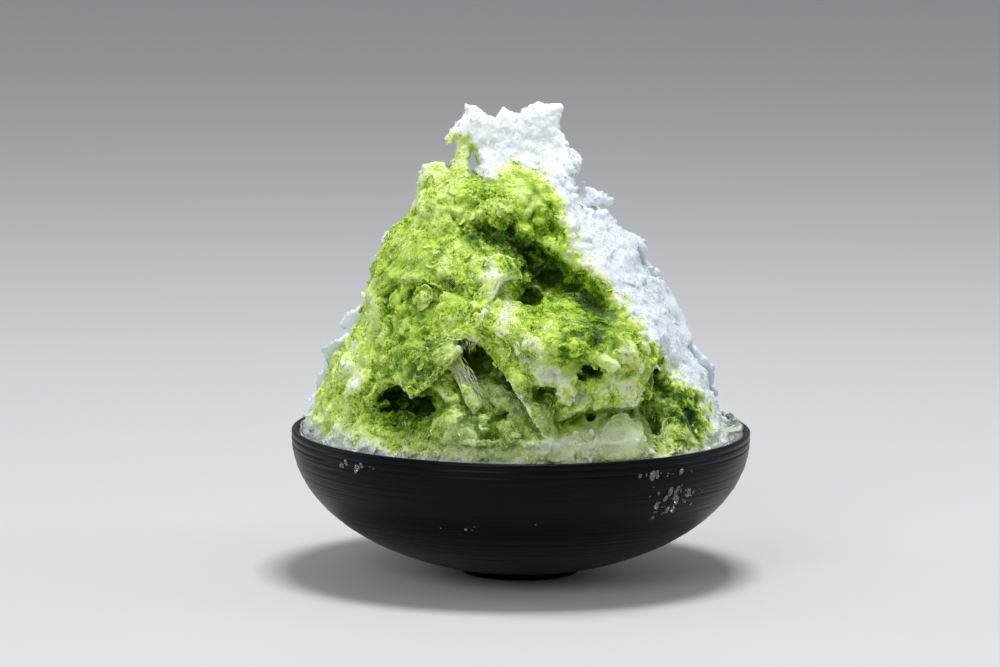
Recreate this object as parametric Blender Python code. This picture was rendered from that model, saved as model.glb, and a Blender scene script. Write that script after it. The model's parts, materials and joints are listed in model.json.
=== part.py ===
"""Shaved ice with green tea syrup, heaped in a wide black bowl.

Two solids: the turned stoneware bowl on its small foot, and the heap of ice that fills it and stands
above the rim. Metres, +Z up, the bowl's axis on Z and the foot's underside on Z = 0. The side that is
meant to be seen faces -Y.
"""

import math

import bmesh
import bpy
from mathutils import Matrix, Vector, noise

# Bowl
RIM_RADIUS = 0.080
BOWL_HEIGHT = 0.0505
BODY_CENTRE_Z = 0.048  # the belly is a half ellipse that hangs from this height
BODY_DEPTH = 0.0475
INNER_RADIUS = 0.0777
INNER_CENTRE_Z = 0.0485
INNER_DEPTH = 0.0438
LIP_RADIUS = 0.0011
GROOVE_DEPTH = 0.0003
GROOVE_HEIGHTS = (0.0476, 0.0452)  # the two turned lines that set off the lip
GROOVE_HALF_WIDTH = 0.0003
FOOT_RADIUS = 0.0205
FOOT_HEIGHT = 0.0030
FOOT_WALL = 0.0040
FOOT_RECESS = 0.0018
TURNED_STEPS = 64
BODY_STEPS = 9
INNER_STEPS = 10
LIP_STEPS = 5

# Heap of ice
GAP = 0.0003  # between the ice and the bowl
FILL_Z = BOWL_HEIGHT - 0.0022  # where the ice leaves the wall
HEAP_TOP = 0.094  # above the rim; the crest stands on it
AROUND = 64
UP_STEPS = 26
DOWN_STEPS = 6
LUMP_SIZE = 0.015
LUMP_DEPTH = 0.0034
CRUMB_SIZE = 0.007
CRUMB_DEPTH = 0.0012

# Outline of the heap: height above the rim, then its reach to the right, front, left and back.
OUTLINE = (
    (-0.0022, 0.0770, 0.0770, 0.0770, 0.0770),
    (0.0040, 0.0738, 0.0752, 0.0745, 0.0745),
    (0.0100, 0.0675, 0.0735, 0.0712, 0.0715),
    (0.0200, 0.0655, 0.0705, 0.0690, 0.0690),
    (0.0300, 0.0595, 0.0655, 0.0650, 0.0645),
    (0.0400, 0.0548, 0.0590, 0.0590, 0.0595),
    (0.0500, 0.0485, 0.0500, 0.0552, 0.0530),
    (0.0600, 0.0425, 0.0430, 0.0508, 0.0455),
    (0.0700, 0.0340, 0.0360, 0.0440, 0.0370),
    (0.0780, 0.0252, 0.0290, 0.0392, 0.0290),
    (0.0850, 0.0205, 0.0215, 0.0372, 0.0215),
    (0.0900, 0.0172, 0.0150, 0.0340, 0.0150),
    (0.0940, 0.0120, 0.0090, 0.0220, 0.0090),
)

# Lumps (positive) and hollows (negative): angle from +X, height above the rim, reach round the heap,
# reach up it, and how far out or in they go.
RELIEF = (
    (218, 0.081, 0.012, 0.0075, 0.0050),  # left shoulder
    (228, 0.055, 0.018, 0.0140, 0.0050),  # left belly
    (232, 0.036, 0.010, 0.0080, 0.0055),  # the lump that the broad shaving hangs from
    (298, 0.035, 0.016, 0.0080, 0.0090),  # front ledge
    (280, 0.040, 0.012, 0.0065, 0.0085),
    (260, 0.045, 0.012, 0.0060, 0.0060),
    (304, 0.058, 0.008, 0.0080, 0.0030),
    (326, 0.044, 0.009, 0.0180, 0.0035),  # white ridge
    (322, 0.018, 0.005, 0.0120, 0.0050),
    (288, 0.009, 0.010, 0.0050, 0.0030),
    (262, 0.075, 0.009, 0.0060, -0.0040),  # diagonal valley, from the top left down to the right
    (275, 0.066, 0.009, 0.0060, -0.0060),
    (290, 0.054, 0.008, 0.0060, -0.0070),
    (271, 0.052, 0.009, 0.0050, -0.0110),  # hollow under the middle shaving
    (257, 0.030, 0.006, 0.0065, -0.0150),  # hollow under the arch
    (234, 0.014, 0.009, 0.0050, -0.0110),  # low hollow at the left
    (290, 0.029, 0.004, 0.0035, -0.0070),
    (277, 0.022, 0.004, 0.0040, -0.0080),
    (314, 0.020, 0.006, 0.0100, -0.0070),  # gully beside the white ridge
    (60, 0.055, 0.016, 0.0100, 0.0060),  # the far side
    (100, 0.030, 0.016, 0.0120, 0.0050),
    (140, 0.062, 0.014, 0.0090, 0.0060),
    (82, 0.050, 0.010, 0.0070, -0.0080),
    (125, 0.034, 0.010, 0.0070, -0.0090),
    (35, 0.022, 0.010, 0.0080, -0.0060),
    (165, 0.018, 0.010, 0.0080, -0.0040),
)

# Crest: the standing sheet of ice, as (across, height of its jagged top above the rim).
CREST_TOP = (
    (-0.0258, 0.1005),
    (-0.0235, 0.1060),
    (-0.0202, 0.1076),
    (-0.0196, 0.1138),
    (-0.0135, 0.1100),
    (-0.0092, 0.1083),
    (-0.0073, 0.1108),
    (-0.0018, 0.1092),
    (0.0040, 0.1125),
    (0.0128, 0.1132),
    (0.0142, 0.1050),
    (0.0168, 0.0970),
)
CREST_FOOT = (0.0840, 0.0800)  # height of its lower edge at the left and at the right end
CREST_SPREAD = 0.0020  # how much wider each side of it is at the foot
CREST_THICKNESS = 0.0080
CREST_BOW = 9.0  # metres of bow for each square metre of distance across

# Large shavings that stand out of the heap: angle, height above the rim, length, width, the tip's rise
# (negative hangs) and how far it turns from pointing straight out, in degrees.
SHAVINGS = (
    ("flap_right", 352, 0.084, 0.0095, 0.010, -0.003, -6),
    ("flap_middle", 264, 0.063, 0.008, 0.012, -0.005, 20),
    ("leaf_left", 236, 0.039, 0.009, 0.018, -0.020, 6),
    ("ribbon_low", 266, 0.034, 0.007, 0.010, -0.022, 14),
    ("flap_back", 95, 0.060, 0.013, 0.012, 0.003, 15),
    ("leaf_back", 130, 0.038, 0.009, 0.014, -0.014, -10),
)
SHAVING_THICKNESS = 0.0026
SHAVING_ROOT = 0.007  # how much of a shaving is buried
SHAVING_STEPS = 4


def clear_scene():
    for obj in list(bpy.data.objects):
        bpy.data.objects.remove(obj)


def make_material(name, colour, roughness, metallic=0.0):
    material = bpy.data.materials.new(name)
    material.use_nodes = True
    shader = material.node_tree.nodes["Principled BSDF"]
    shader.inputs["Base Color"].default_value = (*colour, 1.0)
    shader.inputs["Roughness"].default_value = roughness
    shader.inputs["Metallic"].default_value = metallic
    return material


def object_from(bm, name, material=None):
    """Turns a bmesh into a named object in the scene, shaded smooth."""
    bmesh.ops.recalc_face_normals(bm, faces=bm.faces)
    mesh = bpy.data.meshes.new(name)
    bm.to_mesh(mesh)
    bm.free()
    mesh.shade_smooth()
    obj = bpy.data.objects.new(name, mesh)
    bpy.context.scene.collection.objects.link(obj)
    if material:
        mesh.materials.append(material)
    return obj


def ellipse_radius(z, radius, centre_z, depth):
    """Radius of a half ellipse of revolution at height z, full radius above its centre."""
    below = min(1.0, max(0.0, (centre_z - z) / depth))
    return radius * math.sqrt(1.0 - below * below)


# --- bowl ------------------------------------------------------------------------------------------


def inner_wall():
    """The inside, from the middle of the floor up to the lip, as (radius, z)."""
    points = []
    for i in range(INNER_STEPS + 1):
        turn = 0.5 * math.pi * i / INNER_STEPS
        radius = INNER_RADIUS * math.sin(turn)
        points.append((radius, INNER_CENTRE_Z - INNER_DEPTH * math.cos(turn)))
    return points


def lip():
    """The rounded edge, from inside to outside."""
    centre_r = INNER_RADIUS + LIP_RADIUS
    centre_z = BOWL_HEIGHT - LIP_RADIUS
    points = []
    for i in range(LIP_STEPS + 1):
        turn = math.pi * i / LIP_STEPS
        points.append((centre_r - LIP_RADIUS * math.cos(turn), centre_z + LIP_RADIUS * math.sin(turn)))
    return points


def outer_wall():
    """The outside, down from the lip's grooves to the foot."""
    points = []
    for z in GROOVE_HEIGHTS:
        radius = ellipse_radius(z, RIM_RADIUS, BODY_CENTRE_Z, BODY_DEPTH)
        points.append((radius, z + GROOVE_HALF_WIDTH))
        points.append((radius - GROOVE_DEPTH, z))
        points.append((radius, z - GROOVE_HALF_WIDTH))
    start = math.asin((BODY_CENTRE_Z - 0.043) / BODY_DEPTH)
    end = math.acos((FOOT_RADIUS + 0.001) / RIM_RADIUS)
    for i in range(BODY_STEPS + 1):
        turn = start + (end - start) * i / BODY_STEPS
        points.append((RIM_RADIUS * math.cos(turn), BODY_CENTRE_Z - BODY_DEPTH * math.sin(turn)))
    return points


def foot():
    """The foot ring and the shallow recess inside it, ending on the axis."""
    return [
        (FOOT_RADIUS + 0.0002, FOOT_HEIGHT * 0.55),
        (FOOT_RADIUS, 0.0004),
        (FOOT_RADIUS - 0.0005, 0.0),
        (FOOT_RADIUS - FOOT_WALL, 0.0),
        (FOOT_RADIUS - FOOT_WALL - 0.0006, FOOT_RECESS),
        (0.0, FOOT_RECESS),
    ]


def make_bowl():
    bm = bmesh.new()
    profile = inner_wall() + lip() + outer_wall() + foot()
    verts = [bm.verts.new((r, 0.0, z)) for r, z in profile]
    for a, b in zip(verts, verts[1:]):
        bm.edges.new((a, b))
    bowl = object_from(bm, "bowl", make_material("black_glaze", (0.010, 0.010, 0.014), 0.38))
    turn = bowl.modifiers.new("turned", "SCREW")
    turn.steps = TURNED_STEPS
    turn.render_steps = TURNED_STEPS
    turn.use_merge_vertices = True
    turn.merge_threshold = 0.00005
    turn.use_smooth_shade = True
    return bowl


# --- ice -------------------------------------------------------------------------------------------


def turn_between(a, b):
    """Smallest angle between two bearings, in radians."""
    return (a - b + math.pi) % (2.0 * math.pi) - math.pi


def outline_reach(bearing, up):
    """Reach of the outline at a bearing, blended between its four sides."""
    row = 0
    while row < len(OUTLINE) - 2 and up > OUTLINE[row + 1][0]:
        row += 1
    low, high = OUTLINE[row], OUTLINE[row + 1]
    share = min(1.0, max(0.0, (up - low[0]) / (high[0] - low[0])))
    right, front, left, back = (a + (b - a) * share for a, b in zip(low[1:], high[1:]))
    x, y = math.cos(bearing), math.sin(bearing)
    return (right if x > 0.0 else left) * x * x + (back if y > 0.0 else front) * y * y


def heap_radius(bearing, up):
    """Distance of the heap's surface from the axis, at a bearing and a height above the rim."""
    reach = outline_reach(bearing, up)
    radius = reach
    for degrees, middle, reach_round, reach_up, out in RELIEF:
        across = turn_between(bearing, math.radians(degrees)) * reach
        rise = up - middle
        radius += out * math.exp(-((across / reach_round) ** 2) - (rise / reach_up) ** 2)
    place = Vector((reach * math.cos(bearing), reach * math.sin(bearing), up))
    fade = min(1.0, max(0.0, up + 0.0022) / 0.008)  # the heap stays round where it meets the bowl
    fade *= 0.35 + 0.65 * math.sin(bearing) ** 2  # and keeps its outline to the left and right
    radius += fade * LUMP_DEPTH * noise.noise(place / LUMP_SIZE)
    radius += fade * CRUMB_DEPTH * noise.noise(place / CRUMB_SIZE)
    return max(0.004, radius)


def ring(bm, radius_at, z):
    """A closed ring of vertices at height z, its radius given for each bearing."""
    verts = []
    for i in range(AROUND):
        bearing = 2.0 * math.pi * i / AROUND
        radius = radius_at(bearing)
        verts.append(bm.verts.new((radius * math.cos(bearing), radius * math.sin(bearing), z)))
    return verts


def bridge(bm, lower, upper):
    for i in range(AROUND):
        j = (i + 1) % AROUND
        bm.faces.new((lower[i], lower[j], upper[j], upper[i]))


def close_tube(bm, rows):
    """Joins rows of four vertices into a tube, closed at both ends and triangulated."""
    for low, high in zip(rows, rows[1:]):
        for k in range(4):
            bm.faces.new((low[k], low[(k + 1) % 4], high[(k + 1) % 4], high[k]))
    bm.faces.new(rows[0])
    bm.faces.new(rows[-1][::-1])
    bmesh.ops.triangulate(bm, faces=bm.faces)


def cap(bm, verts, z):
    """Closes a ring with a fan to a point on the axis."""
    tip = bm.verts.new((0.0, 0.0, z))
    for i in range(AROUND):
        bm.faces.new((verts[i], verts[(i + 1) % AROUND], tip))


def make_heap():
    """The ice that fills the bowl and the uneven cone above it, as one closed mesh."""
    bm = bmesh.new()
    rings = []
    for i in range(1, DOWN_STEPS + 1):
        turn = 0.5 * math.pi * i / (DOWN_STEPS + 1)
        z = INNER_CENTRE_Z - (INNER_DEPTH - GAP) * math.cos(turn)
        radius = (INNER_RADIUS - GAP) * math.sin(turn) - GAP
        rings.append(ring(bm, lambda bearing, r=radius: r, z))
    wall = INNER_RADIUS - 2.0 * GAP
    rings.append(ring(bm, lambda bearing: wall, FILL_Z))
    for i in range(1, UP_STEPS + 1):
        up = FILL_Z - BOWL_HEIGHT + (HEAP_TOP - FILL_Z + BOWL_HEIGHT) * i / UP_STEPS
        rings.append(ring(bm, lambda bearing, u=up: min(wall, heap_radius(bearing, u)), BOWL_HEIGHT + up))
    for lower, upper in zip(rings, rings[1:]):
        bridge(bm, lower, upper)
    cap(bm, rings[0], INNER_CENTRE_Z - INNER_DEPTH + GAP)
    cap(bm, rings[-1], BOWL_HEIGHT + HEAP_TOP + 0.002)
    return object_from(bm, "ice", make_material("green_tea_ice", (0.55, 0.74, 0.22), 0.45))


def make_crest():
    """The standing sheet at the top, bowed a little towards the front at its ends."""
    bm = bmesh.new()
    columns = []
    for i, (across, up) in enumerate(CREST_TOP):
        share = i / (len(CREST_TOP) - 1)
        foot_up = CREST_FOOT[0] + (CREST_FOOT[1] - CREST_FOOT[0]) * share
        foot_across = across + CREST_SPREAD * (2.0 * share - 1.0)
        y = -0.0015 - CREST_BOW * (across + 0.003) ** 2
        column = []
        for x, dy, z in (
            (foot_across, -0.5, foot_up),
            (across, -0.5, up),
            (across, 0.5, up - 0.0008),
            (foot_across, 0.5, foot_up),
        ):
            column.append(bm.verts.new((x, y + dy * CREST_THICKNESS, BOWL_HEIGHT + z)))
        columns.append(column)
    close_tube(bm, columns)
    return object_from(bm, "crest")


def make_shaving(name, degrees, up, length, width, rise, turn):
    """A curved tongue of ice: widest at a third of its length, rounded to its tip."""
    bearing = math.radians(degrees)
    surface = heap_radius(bearing, up)
    start = surface - SHAVING_ROOT
    bm = bmesh.new()
    rows = []
    for i in range(SHAVING_STEPS + 1):
        s = i / SHAVING_STEPS
        half = 0.5 * width * (0.75 + 0.9 * s - 1.45 * s * s)
        x = (length + SHAVING_ROOT) * s
        z = rise * s * s
        thick = SHAVING_THICKNESS * (1.0 - 0.6 * s)
        row = []
        for y, dz in ((-half, 0.0), (0.0, thick), (half, 0.0), (0.0, -0.5 * thick)):
            row.append(bm.verts.new((x, y, z + dz)))
        rows.append(row)
    close_tube(bm, rows)
    out = Vector((math.cos(bearing), math.sin(bearing), 0.0))
    place = Matrix.Translation(out * start + Vector((0.0, 0.0, BOWL_HEIGHT + up)))
    bm.transform(place @ Matrix.Rotation(bearing + math.radians(turn), 4, "Z"))
    return object_from(bm, name)


def join_to(heap, part):
    """Joins a part to the heap with a Boolean union, and hides it as a helper."""
    joined = heap.modifiers.new(part.name, "BOOLEAN")
    joined.operation = "UNION"
    joined.solver = "EXACT"
    joined.object = part
    part.hide_render = True
    part.display_type = "WIRE"


def make_ice():
    heap = make_heap()
    join_to(heap, make_crest())
    for shaving in SHAVINGS:
        join_to(heap, make_shaving(*shaving))
    return heap


def main():
    clear_scene()
    dessert = bpy.data.objects.new("dessert", None)
    bpy.context.scene.collection.objects.link(dessert)
    for obj in (make_bowl(), make_ice()):
        obj.parent = dessert


main()
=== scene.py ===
import json
import math
import random

import bmesh
import bpy
import numpy as np
from mathutils import Matrix, Vector, noise
from mathutils.bvhtree import BVHTree
from mathutils.geometry import delaunay_2d_cdt

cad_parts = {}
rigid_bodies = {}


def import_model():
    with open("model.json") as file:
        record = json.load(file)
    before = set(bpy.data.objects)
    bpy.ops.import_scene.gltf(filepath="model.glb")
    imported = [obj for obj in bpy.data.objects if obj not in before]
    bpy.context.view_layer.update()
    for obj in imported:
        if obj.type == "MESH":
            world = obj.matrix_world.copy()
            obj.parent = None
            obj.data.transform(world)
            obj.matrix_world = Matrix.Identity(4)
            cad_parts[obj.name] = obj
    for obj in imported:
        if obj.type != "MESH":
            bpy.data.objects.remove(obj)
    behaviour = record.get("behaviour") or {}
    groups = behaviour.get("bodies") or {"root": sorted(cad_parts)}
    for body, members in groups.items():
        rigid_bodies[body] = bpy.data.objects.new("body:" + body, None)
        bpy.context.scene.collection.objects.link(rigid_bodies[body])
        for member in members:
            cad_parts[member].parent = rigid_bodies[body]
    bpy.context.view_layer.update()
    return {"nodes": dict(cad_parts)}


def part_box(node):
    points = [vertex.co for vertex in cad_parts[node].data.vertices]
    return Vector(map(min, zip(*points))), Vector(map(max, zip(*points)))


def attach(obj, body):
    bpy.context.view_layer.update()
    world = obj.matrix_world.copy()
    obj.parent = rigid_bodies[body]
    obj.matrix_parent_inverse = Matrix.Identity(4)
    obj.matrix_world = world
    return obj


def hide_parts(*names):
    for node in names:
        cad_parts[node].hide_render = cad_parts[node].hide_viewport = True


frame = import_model()
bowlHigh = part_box("bowl")[1]
rimZ = bowlHigh.z
rimRadius = bowlHigh.x
mm = 0.001
scene = bpy.context.scene
noise.seed_set(3)  # without it the noise is shifted by the clock, and every run comes out different


def linear(code):
    # a colour from its sRGB hex value
    channels = [int(code[i:i + 2], 16) / 255 for i in (1, 3, 5)]
    return (*(c / 12.92 if c <= 0.04045 else ((c + 0.055) / 1.055) ** 2.4 for c in channels), 1.0)


def feed(tree, node, inputs):
    # each input gets another node's output, or a value of its own
    for socket, value in inputs.items():
        if isinstance(value, bpy.types.NodeSocket):
            tree.links.new(value, node.inputs[socket])
        else:
            node.inputs[socket].default_value = value


def addNode(tree, kind, inputs=None, **settings):
    node = tree.nodes.new(kind)
    for name, value in settings.items():
        setattr(node, name, value)
    feed(tree, node, inputs or {})
    return node


def paint(ramp, stops):
    # sets a colour ramp's stops and gives its colour
    while len(ramp.color_ramp.elements) < len(stops):
        ramp.color_ramp.elements.new(0.5)
    for element, (at, code) in zip(ramp.color_ramp.elements, stops):
        element.position = at
        element.color = linear(code)
    return ramp.outputs["Color"]


def newMaterial(name):
    material = bpy.data.materials.new(name)
    material.use_nodes = True
    return material, material.node_tree, material.node_tree.nodes["Principled BSDF"]


def newTree(name, inputs):
    # an empty tree for a modifier, with its named inputs; a place for the mesh comes first
    tree = bpy.data.node_groups.new(name, "GeometryNodeTree")
    tree.is_modifier = True
    for word, kind in (("Geometry", "Geometry"), *inputs):
        tree.interface.new_socket(word, in_out="INPUT", socket_type="NodeSocket" + kind)
    tree.interface.new_socket("Geometry", in_out="OUTPUT", socket_type="NodeSocketGeometry")
    return tree, addNode(tree, "NodeGroupInput").outputs


def newPiece(name, verts, faces, material=None, smooth=True):
    mesh = bpy.data.meshes.new(name)
    mesh.from_pydata([tuple(v) for v in verts], [], faces)
    mesh.update()
    piece = bpy.data.objects.new(name, mesh)
    scene.collection.objects.link(piece)
    if smooth:
        mesh.shade_smooth()
    if material:
        mesh.materials.append(material)
    return piece


def settle(piece):
    # turns the evaluated piece into a plain mesh and drops its modifiers
    graph = bpy.context.evaluated_depsgraph_get()
    evaluated = piece.evaluated_get(graph)
    mesh = bpy.data.meshes.new_from_object(evaluated, preserve_all_data_layers=True, depsgraph=graph)
    piece.modifiers.clear()
    old = piece.data
    piece.data = mesh
    mesh.name = piece.name
    bpy.data.meshes.remove(old)
    return piece


def setInput(modifier, name, value):
    for item in modifier.node_group.interface.items_tree:
        if item.item_type == "SOCKET" and item.in_out == "INPUT" and item.name == name:
            modifier[item.identifier] = value


def report(piece):
    print(piece.name, sum(len(p.vertices) - 2 for p in piece.data.polygons), "triangles")


def outwards(turn):
    # the way out from the axis at a bearing
    return Vector((math.cos(turn), math.sin(turn), 0.0))


def coordinates(piece):
    flat = np.empty(len(piece.data.vertices) * 3, np.float32)
    piece.data.vertices.foreach_get("co", flat)
    return flat.reshape(-1, 3).astype(float)


def wobble(points, size, shift=0.0):
    # smooth noise, about -1 to 1, for each point; size is the length of one swell
    offset = Vector((shift, -shift, 2 * shift))
    return np.array([noise.noise(Vector(p) / size + offset) for p in points])


def smoothStep(low, high, values):
    # 0 at low, 1 at high and eased between them; low may be the larger
    share = np.clip((values - low) / (high - low), 0.0, 1.0)
    return share * share * (3.0 - 2.0 * share)


# The bowl: stoneware thrown on a wheel, so every turning ring shows through its glaze.

bowl = {
    "segments": 192,
    "ringStep": 0.36 * mm,  # between two points down the outside
    "ringSize": 0.8 * mm,  # of one turning ring
    "ringDepth": 0.2 * mm,
    "lipBand": 2.4 * mm,  # height of each of the two bands under the edge
    "grooveDepth": 0.42 * mm,
    "bodyCentre": rimZ - 2.5 * mm,
    "bodyDepth": 47.5 * mm,
    "innerRadius": rimRadius - 2.3 * mm,
    "innerCentre": rimZ - 2.0 * mm,
    "innerDepth": 43.8 * mm,
    "footRadius": 20.5 * mm,
    "footHeight": 3.0 * mm,
    "footWall": 4.0 * mm,
    "footRecess": 1.8 * mm,
    "innerSteps": 14,  # from the middle of the inside up to the lip
    "lipSteps": 8,
    "lipRadius": 1.05 * mm,
    "grooveWidth": 0.34 * mm,
}


def bowlOutside(z):
    below = min(1.0, max(0.0, (bowl["bodyCentre"] - z) / bowl["bodyDepth"]))
    return (rimRadius - 0.25 * mm) * math.sqrt(1.0 - below * below)


def bowlProfile():
    # (radius, z, how much the rings show there), from the middle of the inside over the lip to the foot
    points = []
    inner, lip = bowl["innerRadius"], bowl["lipRadius"]
    for i in range(bowl["innerSteps"] + 1):
        turn = 0.5 * math.pi * i / bowl["innerSteps"]
        points.append((inner * math.sin(turn), bowl["innerCentre"] - bowl["innerDepth"] * math.cos(turn),
                       0.0))
    for i in range(1, bowl["lipSteps"]):
        turn = math.pi * i / bowl["lipSteps"]
        points.append((inner + lip - lip * math.cos(turn), rimZ - lip + lip * math.sin(turn) * 0.98, 0.15))
    z = rimZ - 1.2 * mm
    end = bowl["footHeight"] + 0.4 * mm
    while True:
        below = max(0.0, bowl["bodyCentre"] - z)
        slope = max(0.12, (bowl["bodyDepth"] ** 2 - below ** 2) ** 0.5 / bowl["bodyDepth"])
        radius = bowlOutside(z)
        if radius < bowl["footRadius"] + 0.7 * mm or z < end:
            break
        down = rimZ - z
        for line in (1, 2):
            away = (down - line * bowl["lipBand"]) / bowl["grooveWidth"]
            radius -= bowl["grooveDepth"] * math.exp(-away * away)
        points.append((radius, z, 0.25 if down < 2.3 * bowl["lipBand"] else 1.0))
        z -= bowl["ringStep"] * slope
    foot = bowl["footRadius"]
    for radius, z in (
        (foot + 0.3 * mm, end - 0.4 * mm),
        (foot, end * 0.5),
        (foot - 0.1 * mm, 0.4 * mm),
        (foot - 0.5 * mm, 0.0),
        (foot - bowl["footWall"], 0.0),
        (foot - bowl["footWall"] - 0.6 * mm, bowl["footRecess"]),
    ):
        points.append((radius, z, 0.0))
    return points


def makeBowl(material):
    profile = bowlProfile()
    segments = bowl["segments"]
    verts = []
    for row, (radius, z, rings) in enumerate(profile):
        for k in range(segments):
            turn = 2.0 * math.pi * k / segments
            out = radius
            if rings:
                ring = row * bowl["ringStep"] / bowl["ringSize"]
                place = Vector((1.6 * math.cos(turn), 1.6 * math.sin(turn), ring))
                uneven = noise.noise(place) - 0.45 + 0.6 * noise.noise(place * 2.7)
                out += rings * bowl["ringDepth"] * uneven
            verts.append((out * math.cos(turn), out * math.sin(turn), z))
    faces = []
    for row in range(1, len(profile) - 1):
        for k in range(segments):
            a, b = row * segments + k, row * segments + (k + 1) % segments
            faces.append((a, a + segments, b + segments, b))
    inner, outer = len(verts), len(verts) + 1
    verts += [(0.0, 0.0, profile[0][1]), (0.0, 0.0, bowl["footRecess"])]
    last = (len(profile) - 1) * segments
    for k in range(segments):
        nextOne = (k + 1) % segments
        faces.append((segments + k, segments + nextOne, inner))
        faces.append((last + nextOne, last + k, outer))
    verts[:segments] = [(0.0, 0.0, profile[0][1])] * segments  # the first row is the middle itself
    piece = newPiece("turnedBowl", verts, faces, material)
    mesh = bmesh.new()
    mesh.from_mesh(piece.data)
    bmesh.ops.delete(mesh, geom=[v for v in mesh.verts if not v.link_faces], context="VERTS")
    bmesh.ops.recalc_face_normals(mesh, faces=mesh.faces)
    mesh.to_mesh(piece.data)
    mesh.free()
    return piece


# The heap's own form comes from the solid, and its front gets the finer relief on top.
heap = {
    "around": 240,
    "rows": 104,
    "under": -3.4 * mm,  # from here, below the rim, up to the foot of the crest
    "over": 92.5 * mm,
    "sink": 1.3 * mm,  # what lies on it reaches out to the solid's outline
    "clear": 4.4 * mm,  # between the rim's edge and the foot of the ice
    "voxel": 0.70 * mm,
    "kept": 0.61,  # share of the faces that is left once the skin is thinned out
    "strayLumps": 420,
    "topLumps": 60,
    "seed": 5,
    "floor": (-2.6, -12.0, -24.0, -36.0),  # under the rim: the cut, then the steps down inside the bowl
    "floorReach": (1.0, 0.94, 0.78, 0.45),
    "bend": 5.0,  # mm; clumps aren't in rows: how far their pattern is bent, then the length of one bend
    "bendSize": 11 * mm,
    "unevenSize": 17 * mm,  # from a place with deep clumps to one with shallow ones
    "farSlope": (78 * mm, 93 * mm),  # the far side leans in between these heights, up to the standing sheet
    "farLean": 0.75,
    "reliefReach": 30.0,  # mm; past this a place of the relief has no effect
}

# How far the heap reaches to the left and to the right at each height, in mm.
outlineLeft = (
    (-3, 76), (4, 74), (8, 72), (17, 69.5), (20, 67), (28, 62), (36, 57.5), (43, 55.7), (54, 53.6),
    (57, 53.6), (60.5, 49.8), (67.5, 48), (72.5, 40), (76.5, 39.4), (79.5, 37), (89.5, 36.6), (91, 34),
    (92.5, 29),
)
outlineRight = (
    (-3, 76), (2.5, 72), (6, 68), (14, 66.8), (22, 65.5), (30, 59), (38, 55.7), (42, 53.4), (48, 50.2),
    (56, 44.3), (60, 41.5), (63.5, 42), (67, 39.5), (70, 33.4), (76.5, 27.4), (80, 21.5), (84, 19),
    (92.5, 17.5),
)

# Clumps the ice packed into, rounded outwards with creases between: size of one and how far it stands,
# in mm.
clumps = ((10.0, 1.9), (4.6, 0.8))

# Relief of the front, first the valley, then the ledge and the rest: across, height above the rim, half
# widths, tilt in degrees, out (or in), all in mm.
frontRelief = (
    (-14, 73, 7, 4, -30, -3.5), (-3, 67, 9, 5.5, -38, -8.0), (8, 60, 10, 6, -40, -9.0),
    (17, 55, 9, 6, -45, -8.0), (26, 48, 7, 5, -50, -5.0), (1, 53, 10, 5.5, -20, -7.5),
    (-14, 46, 12, 5, 0, 4.0), (4, 41, 12, 6.5, -8, 7.0), (22, 38, 13, 7.5, -6, 8.0),
    (38, 34, 10, 9, 0, 6.0), (27, 24, 14, 5, -8, 5.5), (-38, 66, 9, 9, 0, 2.5),
    (-24, 60, 10, 8, -20, 3.5), (-57, 24, 8, 12, 12, 1.5), (-12, 22, 13, 7.5, -14, -8.0),
    (10, 12, 11, 5, -30, -5.5), (9, 27, 7, 6, -20, 5.0), (-39, 15, 11, 7, 10, -6.0),
    (26, 12.5, 10, 4.5, 0, -6.0), (46, 10, 5.5, 8, 20, -7.0), (49, 25, 4, 10, 25, -7.0),
    (12, 24, 5, 5, -40, 3.5), (-42, 52, 7, 10, 0, 2.5), (-20, 9, 9, 6.5, 0, 4.0), (3, 4, 9, 5, 0, 3.5),
    (34, 6, 7.5, 6.5, 0, 6.0), (60, 13, 5, 9, 25, 2.5), (8, 83, 10, 6, -30, 1.5),
    (-62, 40, 6, 5, 0, -1.5), (-30, 84, 8, 6, 0, 1.5), (-20, 79, 6, 4, -20, -2.0),
    (1, 93.5, 15, 5, 0, -6.0),
)

# Caves cut into the front: across, height, half width, half height, depth in mm, tilt in degrees.
caves = (
    (-15.2, 31.5, 6.6, 7.2, 12, 0), (-5, 27, 6.2, 3.9, 8, -38), (-42.5, 16.5, 6.5, 5.5, 9, 20),
    (-34, 13.5, 7, 6, 9, 0), (1.5, 50, 7, 4.6, 9, -10), (23.5, 29.5, 4.4, 2.6, 6, -20),
    (19.5, 27, 2.6, 1.4, 5, -20), (8.5, 21.5, 3.8, 3.4, 6, -35), (37, 13.5, 5, 2.2, 6, 0),
    (45.5, 8, 2.6, 6, 4.5, 10), (-49.5, 33, 2.6, 1.8, 4, 0), (23, 13, 2, 2, 4, 0),
    (-17, 92.5, 2.4, 5.8, 60, 0), (-25.6, 91.5, 1.1, 2.4, 60, 10),
)

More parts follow.
